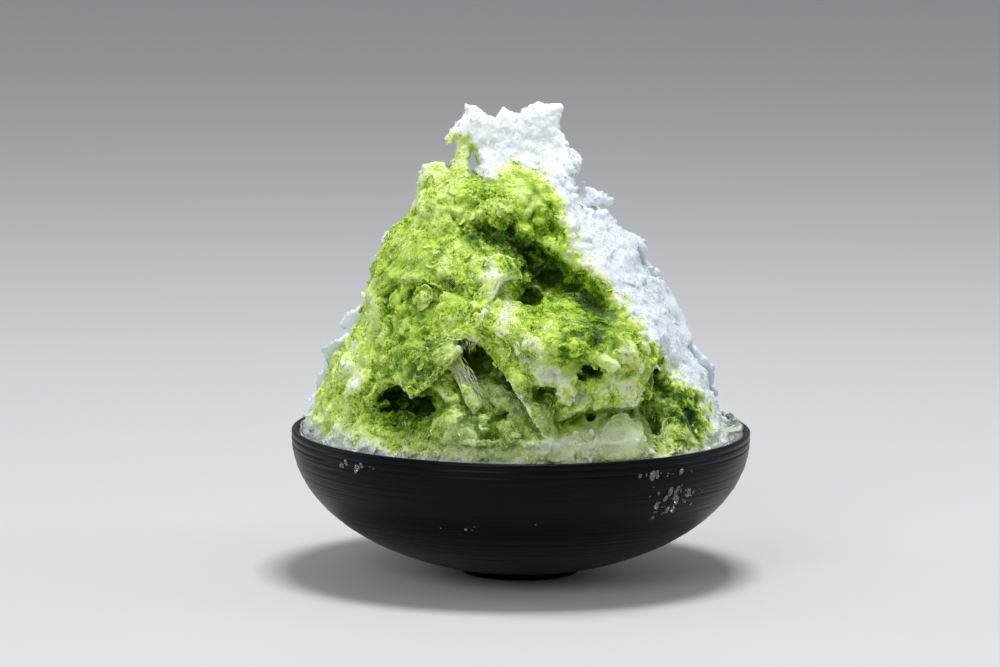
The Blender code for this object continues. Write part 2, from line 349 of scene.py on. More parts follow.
# Crumbly places: across, height, half widths, tilt, how many lumps, smallest and largest, and lift, in
# mm.
crumblyPlaces = (
    (8, 42, 22, 5, -5, 60, 1.4, 3.4, 0.6), (31, 34, 13, 8, 0, 50, 1.4, 3.4, 0.6),
    (25, 22, 14, 4, -10, 56, 1.2, 3.0, 0.9), (-14, 57, 8, 8, -20, 36, 1.3, 3.0, 0.4),
    (-10, 49, 10, 4, 0, 26, 1.4, 3.2, 0.5), (-44, 48, 8, 16, 0, 36, 1.5, 3.4, 0.2),
    (-58, 16, 8, 13, 10, 52, 1.5, 3.6, 0.4), (-31, 88.5, 4.0, 2.0, 0, 16, 1.6, 2.8, 0.2),
    (-27, 77, 10, 8, -30, 30, 1.2, 2.8, 0.2), (0, 80, 14, 5, -35, 30, 1.0, 2.4, 0.2),
    (10, 62, 14, 5, -42, 44, 1.0, 2.4, 0.2), (4, 50, 8, 4, -10, 20, 0.9, 2.0, 0.2),
    (52, 20, 4, 12, 25, 26, 1.0, 2.6, 0.2), (48, 44, 10, 22, 32, 60, 1.2, 3.0, 0.2),
    (-8, 8, 20, 6, 0, 40, 1.2, 3.2, 0.3), (14, 4.5, 16, 3, 0, 40, 0.8, 2.2, 0.3),
    (16, 74, 5, 8, 20, 22, 1.2, 2.8, 0.2),
)

# Smooth faces where a block broke or a broad shaving lies flat: across, height, half widths, tilt and
# smoothness.
smoothPlaces = (
    (-35, 62, 6, 6, 0, 1.0), (-44, 58, 4, 4, 0, 0.8), (2, 87, 7, 3, -25, 0.9), (3, 79, 4, 4, 0, 0.9),
    (17, 61, 5, 3, 0, 0.8), (8, 42, 5, 4, 0, 0.5), (32, 40, 6, 4, 0, 0.7), (-52, 50, 2.5, 5, 0, 0.9),
    (-57, 24, 3.5, 5, 0, 0.7), (34, 7, 7, 6, 0, 1.0), (-22, 10, 8, 7, 0, 0.3), (0, 12, 9, 5, 0, 0.3),
    (62, 8, 4, 6, 0, 0.6), (40, 62, 8, 8, 40, 0.5), (56, 38, 6, 10, 30, 0.5), (-38, 44, 5, 7, 0, 0.4),
    (30, 56, 6, 5, 40, 0.4),
)


def treeOf(verts, faces):
    return BVHTree.FromPolygons([Vector(v) for v in verts], faces)


def solidTree():
    mesh = frame["nodes"]["ice"].data
    return treeOf([v.co for v in mesh.vertices], [tuple(p.vertices) for p in mesh.polygons])


def tilted(across, up, place):
    # how far (across, up) is from the middle of a place, in its own half widths
    x, height, wide, tall, tilt = place[:5]
    c, s = math.cos(math.radians(tilt)), math.sin(math.radians(tilt))
    dx, dz = across - x, up - height
    return (dx * c + dz * s) / wide, (dz * c - dx * s) / tall


def heapReach(solid, relief, out, up):
    # how far the heap reaches from its axis in one direction, at one height above the rim
    hit = solid.ray_cast(Vector((0.0, 0.0, rimZ + max(up, -1.5 * mm))), out)[0]
    reach = (hit.xy.length if hit else 8 * mm) - heap["sink"]
    level = up / mm + 5.0 * noise.noise(Vector((out.y * 3.0, 0.0, 2.0 * (out.x > 0.0))))
    side = outlineLeft if out.x < 0.0 else outlineRight
    sideReach = np.interp(level, *zip(*side)) * mm - heap["sink"]
    reach += (sideReach - reach) * max(0.0, abs(out.x) * 4.0 - 3.0) ** 1.5 if abs(out.x) > 0.75 else 0.0
    if out.y > 0.0:
        reach *= 1.0 - heap["farLean"] * out.y * smoothStep(*heap["farSlope"], up)
    across, far = reach * out.x / mm, heap["reliefReach"]
    for place in relief if out.y < 0.0 else ():
        if abs(across - place[0]) < far and abs(up / mm - place[1]) < far:
            along, over = tilted(across, up / mm, place)
            swell = math.exp(-(along * along + over * over) ** 1.4)
            reach += place[5] * mm * swell * min(1.0, -out.y * 2.0)
    if relief:
        spot = Vector((out.x * reach, out.y * reach, up * 1.15))
        spot += noise.noise_vector(spot / heap["bendSize"]) * heap["bend"] * mm
        level = 0.5 + 1.1 * noise.noise(spot / heap["unevenSize"] + Vector((0.0, 5.0, 0.0)))
        uneven = 0.35 + 1.5 * max(0.0, min(1.0, level))
        past = across - np.interp(up / mm, *zip(*syrup["rightEdge"]))
        dry = smoothStep(-6.0, 6.0, past) if out.y < 0.4 else 0.5
        for size, depth in clumps:
            swell = abs(noise.noise(spot / (size * mm) + Vector((7.0, 0.0, 0.0)))) / 0.25 - 1.0
            stands = depth * mm * uneven * min(1.6, swell)
            reach += stands * (1.0 - 0.6 * dry) * (1.0 - 0.5 * abs(out.x) ** 3)
    if up < 5 * mm:
        reach = min(reach, rimRadius - heap["clear"] - 0.35 * max(0.0, up))
    return reach


def makeHeapForm(relief):
    # a grid of (height, bearing), each point as far out as the heap reaches there
    solid = solidTree()
    verts = []
    rows, around = heap["rows"], heap["around"]
    for row in range(rows + 1):
        up = heap["under"] + (heap["over"] - heap["under"]) * row / rows
        for k in range(around):
            out = outwards(2.0 * math.pi * k / around)
            reach = heapReach(solid, relief, out, up)
            verts.append(Vector((out.x * reach, out.y * reach, rimZ + up)))
    faces = []
    for row in range(rows):
        for k in range(around):
            a, b = row * around + k, row * around + (k + 1) % around
            faces.append((a, b, b + around, a + around))
    low, high = len(verts), len(verts) + 1
    verts += [Vector((0.0, 0.0, rimZ + heap["under"])), Vector((0.0, 0.0, rimZ + heap["over"] + 1.5 * mm))]
    for k in range(around):
        nextOne = (k + 1) % around
        faces.append((nextOne, k, low))
        faces.append((rows * around + k, rows * around + nextOne, high))
    return verts, faces


def frontPlace(surface, across, up):
    # the point of the front that is seen at (across, up), in mm, and the way it faces
    start = Vector((across * mm, -0.2, rimZ + up * mm))
    place, normal, _, _ = surface.ray_cast(start, Vector((0.0, 1.0, 0.0)))
    if place is None:
        return None, None
    return place, (-normal if normal.y > 0.0 else normal)


def frontSpot(surface, across, up, lift=0.0):
    # the same point, lifted off the front by so many mm; beside the heap it lies near the middle plane
    spot = frontPlace(surface, across, up)[0] or Vector((across * mm, -1.0 * mm, rimZ + up * mm))
    return spot + Vector((0.0, -1.0, 0.14)) * lift * mm


def anyPlace(surface, pick, crowding, top):
    # a random point of the skin, more often low down: its direction, height in mm, spot and facing
    out = outwards(pick.uniform(0.0, 2.0 * math.pi))
    up = pick.random() ** crowding * top
    place, normal, _, _ = surface.ray_cast(Vector((0.0, 0.0, rimZ + up * mm)), out)
    if place is not None and normal.dot(out) < 0.0:
        normal = -normal
    return out, up, place, normal


def inCave(across, up, edge, size=0.0):
    # size is that of the thing itself, in mm
    return any(math.hypot(*tilted(across, up, cave)) < edge + 0.5 * size / cave[2] for cave in caves)


def ballShape(divisions):
    ball = bmesh.new()
    bmesh.ops.create_icosphere(ball, subdivisions=divisions, radius=1.0)
    verts = [v.co.copy() for v in ball.verts]
    faces = [tuple(v.index for v in f.verts) for f in ball.faces]
    ball.free()
    return verts, faces


def cutCaves(form, surface):
    ball = ballShape(4)
    for index, (across, up, wide, tall, deep, tilt) in enumerate(caves):
        middle = frontSpot(surface, across, up)
        c, s = math.cos(math.radians(tilt)), math.sin(math.radians(tilt))
        verts = []
        for v in ball[0]:
            swell = 1.0 + 0.30 * noise.noise(v * 1.9 + Vector((index * 5.1, 0.0, 3.0)))
            x, z = v.x * wide * swell, v.z * tall * swell
            local = Vector((x * c - z * s, v.y * deep * swell, x * s + z * c))
            local.z -= 0.14 * local.y  # caves run in a little downwards
            verts.append(middle + local * mm + Vector((0.0, 0.15 * deep * mm, 0.0)))
        cutter = newPiece("cutter%d" % index, verts, ball[1])
        cut = form.modifiers.new("cave%d" % index, "BOOLEAN")
        cut.operation = "DIFFERENCE"
        cut.solver = "MANIFOLD"
        cut.object = cutter
    settle(form)
    for piece in [o for o in bpy.data.objects if o.name.startswith("cutter")]:
        bpy.data.objects.remove(piece)


class Shells:
    # collects closed shells with their marks: rim (1 at an edge), tone (more or less syrup) and soak
    def __init__(self):
        self.verts = []
        self.faces = []
        self.marks = {"rim": [], "tone": [], "soak": []}

    def add(self, verts, faces, rim=None, tone=0.0, soak=0.0):
        start = len(self.verts)
        self.verts += [tuple(v) for v in verts]
        self.faces += [tuple(start + i for i in face) for face in faces]
        self.marks["rim"] += list(rim) if rim is not None else [0.0] * len(verts)
        self.marks["tone"] += [tone] * len(verts)
        self.marks["soak"] += [soak] * len(verts)

    def piece(self, name, material):
        made = newPiece(name, self.verts, self.faces, material)
        for word, values in self.marks.items():
            made.data.attributes.new(word, "FLOAT", "POINT").data.foreach_set("value", values)
        shell = bmesh.new()
        shell.from_mesh(made.data)
        bmesh.ops.recalc_face_normals(shell, faces=shell.faces)
        shell.to_mesh(made.data)
        shell.free()
        return made


def lumpShell(centre, size, flat, outward, seed):
    # a broken chunk of packed ice: a ball cut to uneven flats, flattened along outward
    pick = random.Random(seed)
    verts, faces = ballShape(2)
    flats = [(Vector([pick.gauss(0.0, 1.0) for _ in range(3)]).normalized(), pick.uniform(0.45, 0.95))
             for _ in range(9)]
    long = Vector([pick.gauss(0.0, 1.0) for _ in range(3)]).normalized()
    shift = Vector((seed * 3.7, seed * 1.3, -seed))
    moved = []
    for v in verts:
        point = v * (1.0 + 0.25 * noise.noise(v * 1.6 + shift))
        for away, reach in flats:
            point -= away * max(0.0, point.dot(away) - reach)
        point = (point + long * 0.4 * point.dot(long)) * size
        point -= outward * point.dot(outward) * (1.0 - flat)
        moved.append(centre + point)
    return moved, faces


def addLumps(shells, surface):
    pick = random.Random(heap["seed"])
    count = 0
    for x, height, wide, tall, tilt, number, smallest, largest, lift in crumblyPlaces:
        c, s = math.cos(math.radians(tilt)), math.sin(math.radians(tilt))
        for _ in range(number):
            a = max(-1.6, min(1.6, pick.gauss(0.0, 0.62))) * wide
            b = max(-1.6, min(1.6, pick.gauss(0.0, 0.62))) * tall
            across, up = x + a * c - b * s, height + a * s + b * c
            size = smallest + (largest - smallest) * pick.random() ** 1.6
            if inCave(across, up, 1.05, size):
                continue
            place, normal = frontPlace(surface, across, up)
            if place is None or up < 3.0:
                continue
            count += 1
            centre = place - normal * (0.45 * size - lift) * mm
            shells.add(*lumpShell(centre, size * mm, pick.uniform(0.6, 0.95), normal, count))
    for index in range(heap["strayLumps"]):
        out, up, place, normal = anyPlace(surface, pick, 1.35, 88.0)
        size = pick.uniform(1.4, 4.6)
        flat = pick.uniform(0.45, 0.85)
        if place is None or out.y < -0.5 and pick.random() < 0.75:
            continue
        if place.xy.length > rimRadius - 7 * mm and up < 5.0:
            continue
        shells.add(*lumpShell(place - normal * 0.5 * size * mm, size * mm, flat, normal, index + 900))
    for index in range(heap["topLumps"]):  # snow banked up behind the standing sheet
        across, depth, size = pick.uniform(-10.0, 18.0), pick.uniform(-1.0, 15.0), pick.uniform(2.0, 4.6)
        above = Vector((across * mm, depth * mm, rimZ + 130 * mm))
        place, normal, _, _ = surface.ray_cast(above, Vector((0.0, 0.0, -1.0)))
        if place is None or place.z < rimZ + 76 * mm:
            continue
        bank = Vector((0.0, 0.0, 5.0 * (1.0 - depth / 15.0) * pick.random() * mm))
        shells.add(*lumpShell(place + bank - normal * 0.3 * size * mm, size * mm, 0.8, normal,
                              index + 2000))


def closeUnder(core):
    # cuts the hidden underside off flat, then carries the ice down inside the bowl in a few steps
    mesh = bmesh.new()
    mesh.from_mesh(core.data)
    cutZ = rimZ + heap["floor"][0] * mm
    everything = mesh.verts[:] + mesh.edges[:] + mesh.faces[:]
    bmesh.ops.bisect_plane(mesh, geom=everything, plane_co=(0, 0, cutZ), plane_no=(0, 0, 1),
                           clear_inner=True)
    edges = [e for e in mesh.edges if e.is_boundary and abs(e.verts[0].co.z - cutZ) < 1e-6]
    reached = 1.0
    for up, reach in zip(heap["floor"][1:], heap["floorReach"][1:]):
        grown = bmesh.ops.extrude_edge_only(mesh, edges=edges)
        edges = [g for g in grown["geom"] if isinstance(g, bmesh.types.BMEdge)]
        for v in [g for g in grown["geom"] if isinstance(g, bmesh.types.BMVert)]:
            v.co.x *= reach / reached
            v.co.y *= reach / reached
            v.co.z = rimZ + up * mm
        edges = [e for e in edges if e.is_boundary and abs(e.verts[0].co.z - e.verts[1].co.z) < 1e-7]
        reached = reach
    bmesh.ops.holes_fill(mesh, edges=edges, sides=0)
    bmesh.ops.triangulate(mesh, faces=[f for f in mesh.faces if len(f.verts) > 4])
    bmesh.ops.recalc_face_normals(mesh, faces=mesh.faces)
    mesh.to_mesh(core.data)
    mesh.free()


def makeCore(formVerts, formFaces, surface, plain):
    form = newPiece("form", formVerts, formFaces)
    cutCaves(form, surface)
    shells = Shells()
    shells.add([v.co for v in form.data.vertices], [tuple(p.vertices) for p in form.data.polygons])
    bpy.data.objects.remove(form)
    addLumps(shells, surface)
    for index, sheet in enumerate(broadSheets.values()):
        place = draped(plain, sheet["lifts"])  # packed ice under each broad shaving, a little thicker
        under = outlineSheet(sheet["outline"], place, sheet["thick"] + 1.3, thin=0.1, spacing=1.0,
                             seed=index + 3)
        shells.add(*under[:2])
    core = newPiece("packedIce", shells.verts, shells.faces)
    remesh = core.modifiers.new("oneSkin", "REMESH")
    remesh.mode = "VOXEL"
    remesh.voxel_size = heap["voxel"]
    settle(core)
    closeUnder(core)
    print("core", len(core.data.vertices), "points")
    return core


def raggedLoop(points, step, depth, seed, rounded):
    # the outline in small steps, rounded through its points or straight between them, with a broken edge
    loop = []
    count = len(points)
    for k in range(count):
        a, b, c, d = (Vector(points[(k + i) % count]) for i in (-1, 0, 1, 2))
        steps = max(1, round((c - b).length / step))
        side = (c - b).normalized()
        for i in range(steps):
            u = i / steps
            square, cube = 2 * a - 5 * b + 4 * c - d, 3 * b - a - 3 * c + d
            curve = 0.5 * (2 * b + (c - a) * u + square * u * u + cube * u ** 3)
            p = b.lerp(c, u).lerp(curve, rounded)
            push = noise.noise(Vector((p.x / 1.5, p.y / 1.5, seed)))
            push += 0.6 * noise.noise(Vector((p.x / 0.6, p.y / 0.6, seed + 5)))
            loop.append(p + Vector((-side.y, side.x)) * push * depth)
    return loop


def insideLoops(points, loops):
    # which points lie inside the outline and outside its holes
    inside = np.zeros(len(points), bool)
    for loop in loops:
        for p, q in zip(loop, loop[1:] + loop[:1]):
            crosses = (p.y > points[:, 1]) != (q.y > points[:, 1])
            at = p.x + (q.x - p.x) * (points[:, 1] - p.y) / ((q.y - p.y) or 1e-9)
            inside ^= crosses & (points[:, 0] < at)
    return inside


def awayFromLoops(points, loops):
    # how far each point is from the nearest edge
    nearest = np.full(len(points), 1e9)
    for loop in loops:
        for p, q in zip(loop, loop[1:] + loop[:1]):
            side = np.array(q - p)
            start = points - np.array(p)
            t = np.clip(start @ side / max(side @ side, 1e-12), 0.0, 1.0)
            nearest = np.minimum(nearest, np.linalg.norm(start - t[:, None] * side, axis=1))
    return nearest


def outlineSheet(outline, place, thick, thin=0.22, reach=3.0, spacing=0.8, ragged=0.25, seed=1, rounded=1.0,
                 holes=(), relief=0.14):
    # a sheet cut to an outline of (across, height) in mm; place gives each point's spot and added
    # thickness, reach is how far in from its thin edge it becomes thick
    loops = [raggedLoop(outline, spacing * 0.8, ragged, seed, rounded)]
    loops += [raggedLoop(hole, spacing * 0.8, ragged, seed + 9, rounded) for hole in holes]
    low = np.min([tuple(p) for p in loops[0]], axis=0)
    high = np.max([tuple(p) for p in loops[0]], axis=0)
    pick = random.Random(seed)
    grid = []
    for row in range(int((high[1] - low[1]) / (spacing * 0.87)) + 2):
        for column in range(int((high[0] - low[0]) / spacing) + 2):
            grid.append((low[0] + (column + 0.5 * (row % 2) + pick.uniform(-0.2, 0.2)) * spacing,
                         low[1] + (row + pick.uniform(-0.2, 0.2)) * spacing * 0.87))
    grid = np.array(grid)
    grid = grid[insideLoops(grid, loops)]
    grid = grid[awayFromLoops(grid, loops) > spacing * 0.5]
    points, edges = [], []
    for loop in loops:
        start = len(points)
        points += [Vector(p) for p in loop]
        edges += [(start + i, start + (i + 1) % len(loop)) for i in range(len(loop))]
    points += [Vector(p) for p in grid]
    flat, _, faces, _, _, _ = delaunay_2d_cdt(points, edges, [], 0, 1e-6)
    flat = np.array([tuple(p) for p in flat])
    faces = np.array(faces)
    faces = faces[insideLoops(flat[faces].mean(axis=1), loops)]
    used = np.unique(faces)
    renumber = np.zeros(len(flat), int)
    renumber[used] = np.arange(len(used))
    flat, faces = flat[used], renumber[faces]
    away = awayFromLoops(flat, loops)
    spots = [place(x, up) for x, up in flat]
    share = np.clip(away / reach, 0.0, 1.0)
    rise = np.sqrt(share * (2.0 - share))
    middle = np.array([tuple(spot[0]) for spot in spots])
    first, second, third = (middle[faces[:, corner]] for corner in range(3))
    across = np.cross(second - first, third - first)
    normals = np.zeros_like(middle)
    for corner in range(3):
        np.add.at(normals, faces[:, corner], across)
    normals /= np.maximum(np.linalg.norm(normals, axis=1), 1e-15)[:, None]
    half = 0.5 * mm * (thin + (thick - thin) * rise + np.array([spot[1] for spot in spots]) * rise)
    verts = []
    for side, shift in ((1.0, 0.0), (-1.0, 40.0)):
        uneven = wobble(middle, 2.6 * mm, shift + seed) + 0.6 * wobble(middle, 1.1 * mm, shift + seed)
        swell = relief * mm * uneven * rise
        verts += [Vector(p) for p in middle + normals * (side * (half + swell))[:, None]]
    count = len(flat)
    shell = [tuple(int(i) for i in face) for face in faces]
    shell += [tuple(int(i) + count for i in face[::-1]) for face in faces]
    sides = {}
    for face in faces:
        for a, b in ((face[0], face[1]), (face[1], face[2]), (face[2], face[0])):
            if (b, a) in sides:
                del sides[(b, a)]
            else:
                sides[(a, b)] = True
    shell += [(int(b), int(a), int(a) + count, int(b) + count) for a, b in sides]
    rim = np.clip(1.0 - away / (0.45 * reach), 0.0, 1.0)
    return verts, shell, np.concatenate([rim, rim])


def draped(surface, lifts):
    # sets a sheet over the front, lifted towards the viewer by what the nearest of the given points say
    def place(across, up):
        weights = [1.0 / ((across - x) ** 2 + (up - height) ** 2 + 0.5) ** 1.5 for x, height, _ in lifts]
        lift = sum(w * lift for w, (_, _, lift) in zip(weights, lifts)) / sum(weights)
        return frontSpot(surface, across, up, lift), 0.0
    return place


# Broad shavings of the front. Outlines are (across, height above the rim), lifts (across, height, lift),
# all in mm; tone adds or takes syrup, soak is how wet and clear the sheet is.
broadSheets = {
    "paleFlap": {"thick": 1.4, "tone": -0.13, "outline": (
        (-13.5, 64.5), (-11.5, 63.5), (-9.5, 65), (-7.5, 65.5), (-4.5, 64.5), (-2.5, 62.5), (-0.5, 59),
        (0, 57), (-2.5, 57.5), (-5.5, 57), (-7.5, 55.5), (-9, 53), (-11, 51), (-14.5, 50.5), (-17, 51.5),
        (-15, 54), (-13, 56), (-11.5, 58.5), (-11, 61)),
        "lifts": ((-15.5, 51.5, 1.5), (-11, 59.5, 2.5), (-5.5, 64, 2.5), (-0.5, 58, 2), (-12.5, 64, 1),
                  (-8, 54.5, 3))},
    "darkPetal": {"thick": 1.0, "tone": 0.3, "soak": 0.5, "outline": (
        (-9.5, 54.5), (-7.5, 56.5), (-4, 57.5), (-0.5, 56.5), (1, 54), (0, 51.5), (-3.5, 51), (-7.5, 51.5)),
        "lifts": ((-9, 54.5, -3), (0, 53, -5))},
    "leaf": {"thick": 0.9, "tone": 0.12, "soak": 0.35, "outline": (
        (-43, 35), (-38.5, 38), (-33.5, 39), (-28.5, 40), (-23, 40.5), (-22, 37), (-23, 34.5),
        (-26, 31.5), (-29, 27), (-32.5, 23), (-35, 19.5), (-37.5, 18), (-38.5, 20), (-39.5, 21),
        (-41.5, 22.5), (-43.5, 24.5), (-45.5, 28.5), (-45, 33)),
        "lifts": ((-35, 39, -1), (-26.5, 40, 0), (-24, 33.5, 6), (-37.5, 18.5, 7.5), (-45, 28.5, -1),
                  (-35, 29.5, 2.5), (-43, 35.5, -1), (-42, 22, 3))},
    "leafFold": {"thick": 1.1, "tone": -0.02, "soak": 0.1, "outline": (
        (-22, 36.5), (-20.5, 34.5), (-24, 30.5), (-27.5, 26.5), (-32, 22.5), (-36, 19), (-37.5, 18.5),
        (-34, 23), (-29.5, 28), (-26, 32.5)),
        "lifts": ((-22, 35.5, 7), (-29.5, 27, 7.8), (-36.5, 19, 8.2))},
    "arch": {"thick": 1.0, "tone": 0.02, "soak": 0.35, "outline": (
        (-29.5, 38.5), (-26, 41), (-22, 42.5), (-18, 42), (-13.5, 40.5), (-11, 38.5), (-8.5, 35),
        (-7.5, 32), (-9.5, 31), (-11, 33), (-13, 35.5), (-16, 37.5), (-19.5, 38.5), (-22.5, 38),
        (-25.5, 36), (-28, 34.5), (-29.5, 35.5)),
        "lifts": ((-29, 38, 0.5), (-24, 42, 1.5), (-18, 42.5, 2.5), (-11, 39, 3.5), (-8, 33, 4.5),
                  (-26, 36, 3.5), (-19.5, 38.5, 5), (-14, 36.5, 5.5), (-10, 32, 5))},
    "archLeg": {"thick": 0.9, "tone": 0.02, "soak": 0.6, "outline": (
        (-28, 34.5), (-25, 36), (-22.5, 34.5), (-22, 31.5), (-20.5, 27.5), (-18, 24.5), (-15, 22),
        (-13.5, 18), (-16, 15.5), (-18.5, 18), (-20.5, 22), (-22.5, 25.5), (-25, 29.5), (-27, 32)),
        "lifts": ((-26, 34.5, 3), (-21.5, 26.5, 1.5), (-15, 17.5, -1))},
    "ribbon": {"thick": 1.1, "tone": -0.05, "soak": 0.0, "outline": (
        (-8.5, 36), (-3, 35.5), (3, 33), (7, 29), (8.5, 24), (9, 19), (10.5, 14), (12.5, 9), (14, 4.5),
        (10, 4.5), (8, 7.5), (5.5, 11), (3, 15), (0.5, 19), (-2.5, 23), (-4.5, 26), (-7.5, 29.5),
        (-9.5, 31.5)),
        "lifts": ((-9, 32, 5.5), (-3.5, 24.5, 5.5), (3, 15, 4.5), (9, 6, 2), (0, 35, 3), (8, 28, -1.5),
                  (9, 19, -4), (13, 7, -5))},
    "paleRibbon": {"thick": 0.9, "tone": 0.02, "soak": 0.6, "outline": (
        (-16, 23.5), (-12.5, 24.5), (-8, 24.5), (-4, 23), (0, 21), (3.5, 17.5), (6.5, 13), (9, 8.5),
        (6.5, 7.5), (3.5, 11), (1, 14), (-2.5, 16), (-7, 17.5), (-11, 19), (-14.5, 20)),
        "lifts": ((-15, 22, -4.5), (-4, 20, -1.5), (3.5, 14, -1), (8, 8, -1), (0, 21, -3.5))},
    "footPane": {"thick": 1.3, "tone": 0.02, "soak": 0.6, "outline": (
        (26.5, 0), (26, 5), (27.5, 10), (31, 13.8), (35, 14.2), (37.5, 11.5), (40.5, 9.8), (42, 5),
        (44.5, -0.5), (35, -1)),
        "lifts": ((26.5, 1, 0.5), (31.5, 13.5, -1.5), (36.5, 13, 2.0), (44, 1, -1.5), (36, 3, 3.2),
                  (39, 9, 1.5))},
    "gullyPetal": {"thick": 1.2, "tone": 0.02, "soak": 0.4, "outline": (
        (58, 13.5), (60.5, 12.5), (62.5, 9), (65.5, 4.5), (63.5, 3), (60, 4.5), (58, 8.5)),
        "lifts": ((58.5, 13, 0.5), (63.5, 4.5, 2))},
    "lowWhite": {"thick": 1.4, "tone": -0.5, "soak": 0.2, "outline": (
        (62, 14.5), (64.5, 15), (67, 11.5), (68, 8), (69.5, 4), (67.5, 1.5), (64, 3), (63.5, 7), (62, 11)),
        "lifts": ((64, 14, 1), (66, 4, 2))},
}

# Sheets that stand out at the heap's edge; turned says how much they turn back towards the outside.
edgeSheets = {
    "rightFlap": {"forward": -0.5, "tone": -1.0, "turned": 0.0, "outline": (
        (12, 84), (18, 84), (20.3, 86.1), (21.3, 84.0), (26.5, 83.0), (30.7, 79.5), (29.3, 77.7),
        (23.8, 77.7), (21.7, 76.7), (18.9, 74.9), (13, 73))},
    "rightTop": {"forward": 2.0, "tone": -1.0, "turned": 0.9, "outline": (
        (20, 77.6), (28, 76.5), (31.8, 72), (33.5, 70), (39.7, 67), (41.8, 64.7), (38, 61), (30, 65),
        (24, 73))},
    "rightUpper": {"forward": -3.5, "tone": -1.0, "turned": -0.8, "outline": (
        (38, 66), (42.6, 63.6), (41, 61), (44, 56.5), (47.4, 55.3), (46.7, 53.6), (50, 48.5), (44, 46),
        (38, 54))},
    "rightMiddle": {"forward": 3.0, "tone": -1.0, "turned": 0.8, "outline": (
        (46, 54), (50.5, 48), (53.3, 43.5), (56, 37.5), (58.5, 31), (54, 28), (48, 36), (44, 47))},
    "rightFoot": {"forward": 0.5, "tone": -1.0, "turned": -0.6, "outline": (
        (56, 34), (59, 30), (65.8, 22), (65, 15), (67, 14), (66.8, 10), (68.5, 5.7), (72, 1), (62, 2),
        (59, 16), (53, 29))},
    "leftFlap": {"forward": 2.5, "tone": -1.0, "turned": 0.4, "outline": (
        (-53, 44.5), (-57, 41), (-60, 39.7), (-62.6, 35.2), (-59.5, 34.2), (-58, 33), (-50, 31),
        (-49, 40))},
    "leftFlapLow": {"forward": 1.0, "tone": -0.8, "turned": -0.5, "outline": (
        (-56, 33.5), (-62, 32), (-68.2, 28), (-66.8, 22), (-69.2, 18.9), (-70.3, 16.5), (-70.3, 12.7),
        (-73, 6), (-74.8, 4), (-70, 0), (-62, 4), (-60, 16), (-56, 26))},
}

# The standing sheet at the top, seen from the front, in mm; the slot at its left goes right through.
crest = {
    "outline": (
        (-20, 113.3), (-16, 112), (-12.7, 109.3), (-9.2, 108.2), (-7.5, 111.4), (-4.7, 110.3),
        (-1.9, 109.3), (-0.5, 111), (1.6, 112.1), (3.7, 113.2), (9, 113.3), (12.7, 113.3), (13.7, 112),
        (12.3, 105.4), (13.4, 103), (16, 100), (15.1, 99), (16.8, 94.2), (18.2, 91), (17.2, 89),
        (18.9, 82), (20, 77.4), (13, 75), (0, 75), (-14, 77.4), (-25, 81), (-26, 86), (-23, 93),
        (-23, 99.4), (-24.1, 100.8), (-24.8, 99.4), (-26.2, 99.4), (-26.5, 101.2), (-25.2, 104),
        (-23, 106.8), (-20, 109.6)),
    "slot": ((-17.9, 97.0), (-16.5, 94.9), (-15.4, 92.1), (-15.4, 87.9), (-18.2, 88.9), (-18.6, 93.1)),
    "thick": 4.6,
    "thin": 0.25,
    "reach": 4.5,
    "bow": 0.009,  # it comes forward at both ends
    "forward": 1.8,
}


def crestPlace(across, up):
    # upright and thin at the top; lower down it comes forward and thickens into the heap
    low = min(14.0, 0.036 * max(0.0, 106.0 - up) ** 2)
    lean = 1.3 * noise.noise(Vector((across / 9.0, 0.0, up / 9.0)))
    lean += 0.35 * noise.noise(Vector((across / 3.5, 5.0, up / 3.5)))
    forward = crest["forward"] + crest["bow"] * (across + 3.0) ** 2 + 0.22 * low - lean - 0.16 * (up - 92.0)
    return Vector((across * mm, -forward * mm, rimZ + up * mm)), 0.40 * low


# Shingles: shavings that fell every way and froze on by one end; their free end stands off the heap.
shingles = {
    "count": 330,
    "length": (3.5, 11.0),  # mm
    "slim": (0.45, 0.95),
    "rise": (0.4, 3.4),
    "thick": 0.8,
    "seed": 31,
    "dryEdge": ((0, 67), (16, 58), (31, 46), (43, 41), (54, 27), (78, 13), (92, 2)),  # height, across
}


def shinglePlace(surface, centre, normal, ahead, side, half, rise, curl):
    # sets a shingle on the skin it lies over, its lower end free
    def place(a, b):
        flat = centre + (side * a + ahead * b) * mm
        hit = surface.ray_cast(flat + normal * 15 * mm, -normal, 0.045)[0]
        sag = max(-1.0, min(1.0, (hit - flat).dot(normal) / (2.5 * mm))) * 2.5 * mm if hit else 0.0
        share = max(0.0, 0.5 + 0.5 * b / half)
        lift = -0.9 + rise * share ** 1.6 + curl * a * a / (half * half)
        return flat + normal * (sag + lift * mm), 0.0
    return place


